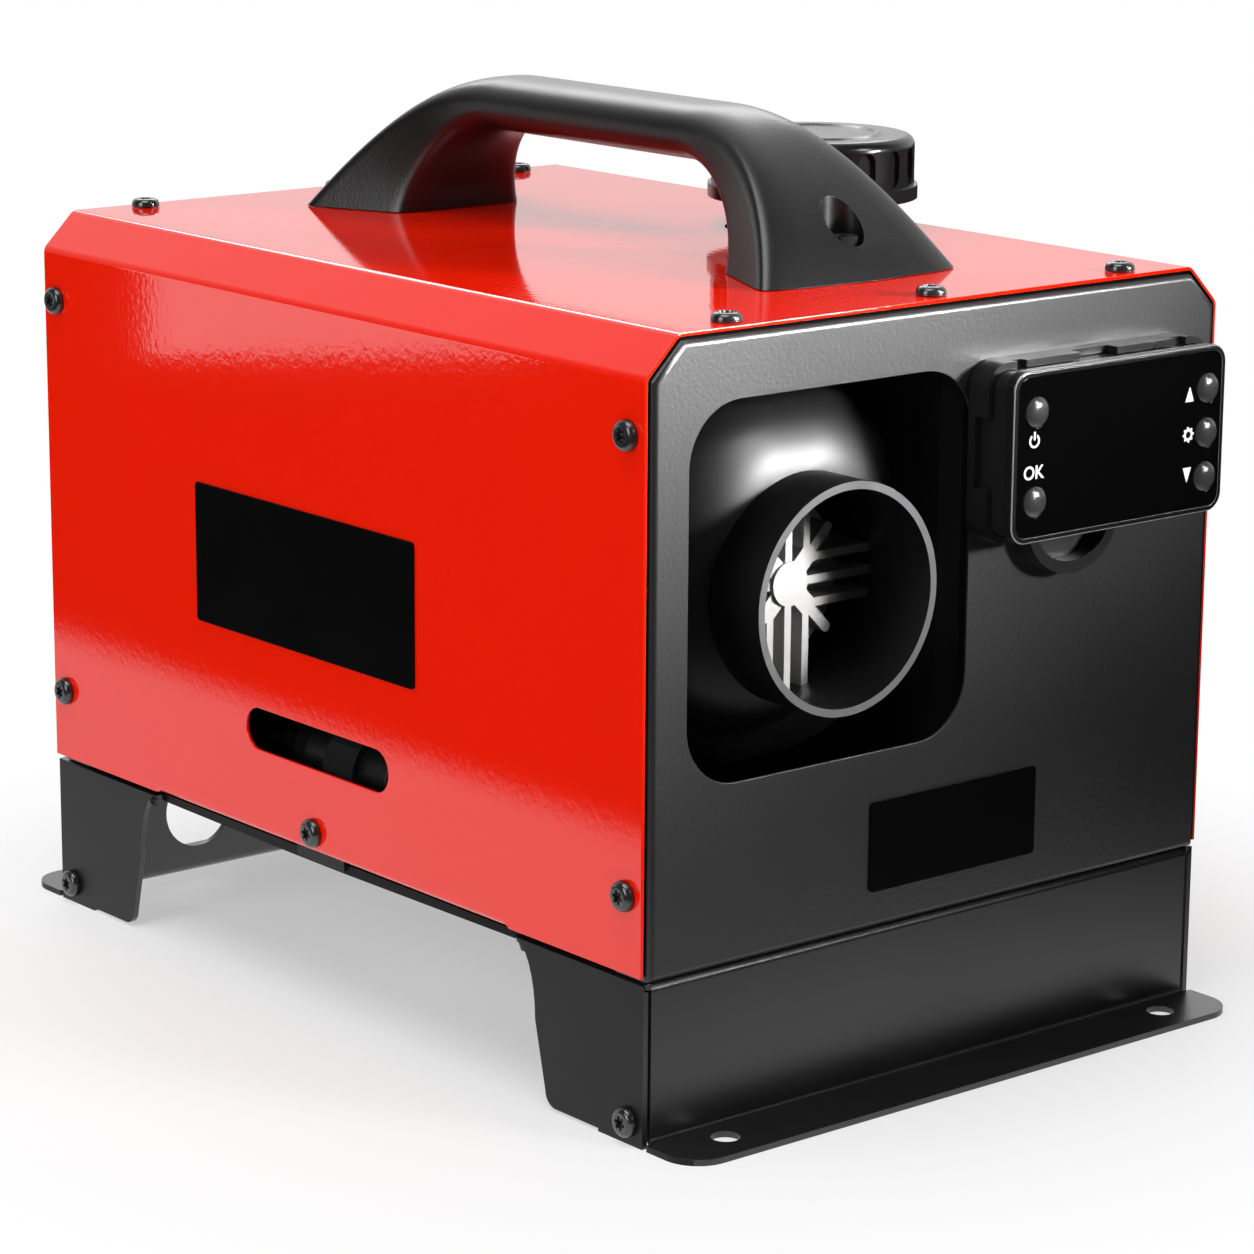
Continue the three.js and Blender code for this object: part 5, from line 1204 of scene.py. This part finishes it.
gland = gland_bar(REAR_FACE + HEXAGON_MIDDLE, HEXAGON_R, OUTER_HEXAGON_L, 6)
gland.name = "gland_body"
domed_nut = gland_bar(REAR_FACE + NUT_MIDDLE, NUT_R, NUT_L, 48)
edit(domed_nut)
pick(domed_nut, "EDGE", lambda m, d: near(m.y, REAR_FACE + NUT_MIDDLE + NUT_L / 2))
bevel(NUT_ROUND, 6)
done()
cut(gland, [domed_nut], "UNION")
cut(gland, [gland_bar(REAR_FACE - 0.0005, NECK_R, NECK_L)], "UNION")
cut(gland, [gland_bar(gland_low.y + INNER_HEXAGON_L / 2, HEXAGON_R, INNER_HEXAGON_L, 6)], "UNION")
cut(gland, [gland_bar(REAR_FACE, LEAD_R, 0.06)])
soften(gland, 0.0004, 30)
dress(gland, gloss_plastic, "gloss_plastic", "housing", "cable_gland")

# ------------------------------------------------------------- fuel pump
# The dosing pump lies behind the slot in the cover's side, held by a rubber
# lined clip. Its coil is a black can with a crimped collar at each end.
pump_low, pump_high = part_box("fuel_pump")
pump_at = (pump_low + pump_high) / 2
CAN_R, CAN_L, CRIMP = 0.012, 0.0462, 0.0015
COLLAR_END_R, COLLAR_END_L = 0.0086, 0.066
NIPPLE_R, NIPPLE_L = 0.0025, 0.084
pump = drill("y", pump_at, CAN_R, CAN_L, 64)
pump.name = "dosing_pump"
edit(pump)
pick(pump, "EDGE", lambda m, d: near(abs(m.y - pump_at.y), CAN_L / 2))
bevel(CRIMP, 4)
done()
cut(pump, [drill("y", pump_at, COLLAR_END_R, COLLAR_END_L, 48)], "UNION")
cut(pump, [drill("y", pump_at, NIPPLE_R, NIPPLE_L, 24)], "UNION")
soften(pump, angle=40)
pump_coat = finish(
    "dull_black_can", (0.003, 0.003, 0.0033), (0.005, 0.005, 0.0053), 0.01,
    (0.4, 0.55), 0.0007, 0.00002, level=0.3,
)
dress(pump, pump_coat, "black_steel", "housing", "fuel_pump")

# ---------------------------------------------- pieces inside and beneath
# The casing, motor, wheels, tank, pipes, lines and boards keep the solids'
# own shapes, and each gets the finish of what it is made of.
tank_plastic = finish(
    "blow_moulded_tank", (0.015, 0.0155, 0.016), (0.02, 0.0205, 0.021), 0.04,
    (0.45, 0.55), 0.0012, 0.00006, level=0.3,
)
zinc_plate = finish(
    "zinc_plated_steel", (0.5, 0.51, 0.52), (0.42, 0.43, 0.44), 0.01,
    (0.28, 0.4), 0.0008, 0.00002, metallic=1.0,
)
stainless = finish(
    "stainless_pipe", (0.36, 0.345, 0.32), (0.28, 0.265, 0.24), 0.012,
    (0.3, 0.42), 0.0006, 0.00002, metallic=1.0,
)
soft_rubber = finish(
    "matt_rubber", (0.007, 0.007, 0.007), (0.010, 0.010, 0.010), 0.01,
    (0.7, 0.85), 0.0006, 0.00005, level=0.3,
)
hose_rubber = finish(
    "fuel_hose_rubber", (0.016, 0.016, 0.016), (0.022, 0.022, 0.022), 0.01,
    (0.5, 0.6), 0.0006, 0.00004, level=0.35,
)
solder_mask = finish(
    "green_solder_mask", (0.012, 0.09, 0.028), (0.016, 0.12, 0.036), 0.006,
    (0.3, 0.45), 0.0008, 0.00004,
)
FINISHES = {
    "tank_plastic": tank_plastic,
    "zinc_steel": zinc_plate,
    "exhaust_steel": stainless,
    "rubber": soft_rubber,
    "fuel_hose": hose_rubber,
    "board_green": solder_mask,
    "case_plastic": hood_plastic,
    "black_steel": black_steel,
}
for entry in frame["record"]["subparts"]:
    node = frame["nodes"][entry["node"]]
    if node.hide_render or entry["material_slot"] not in FINISHES:
        continue
    for material_slot in node.material_slots:
        material_slot.material = FINISHES[entry["material_slot"]]
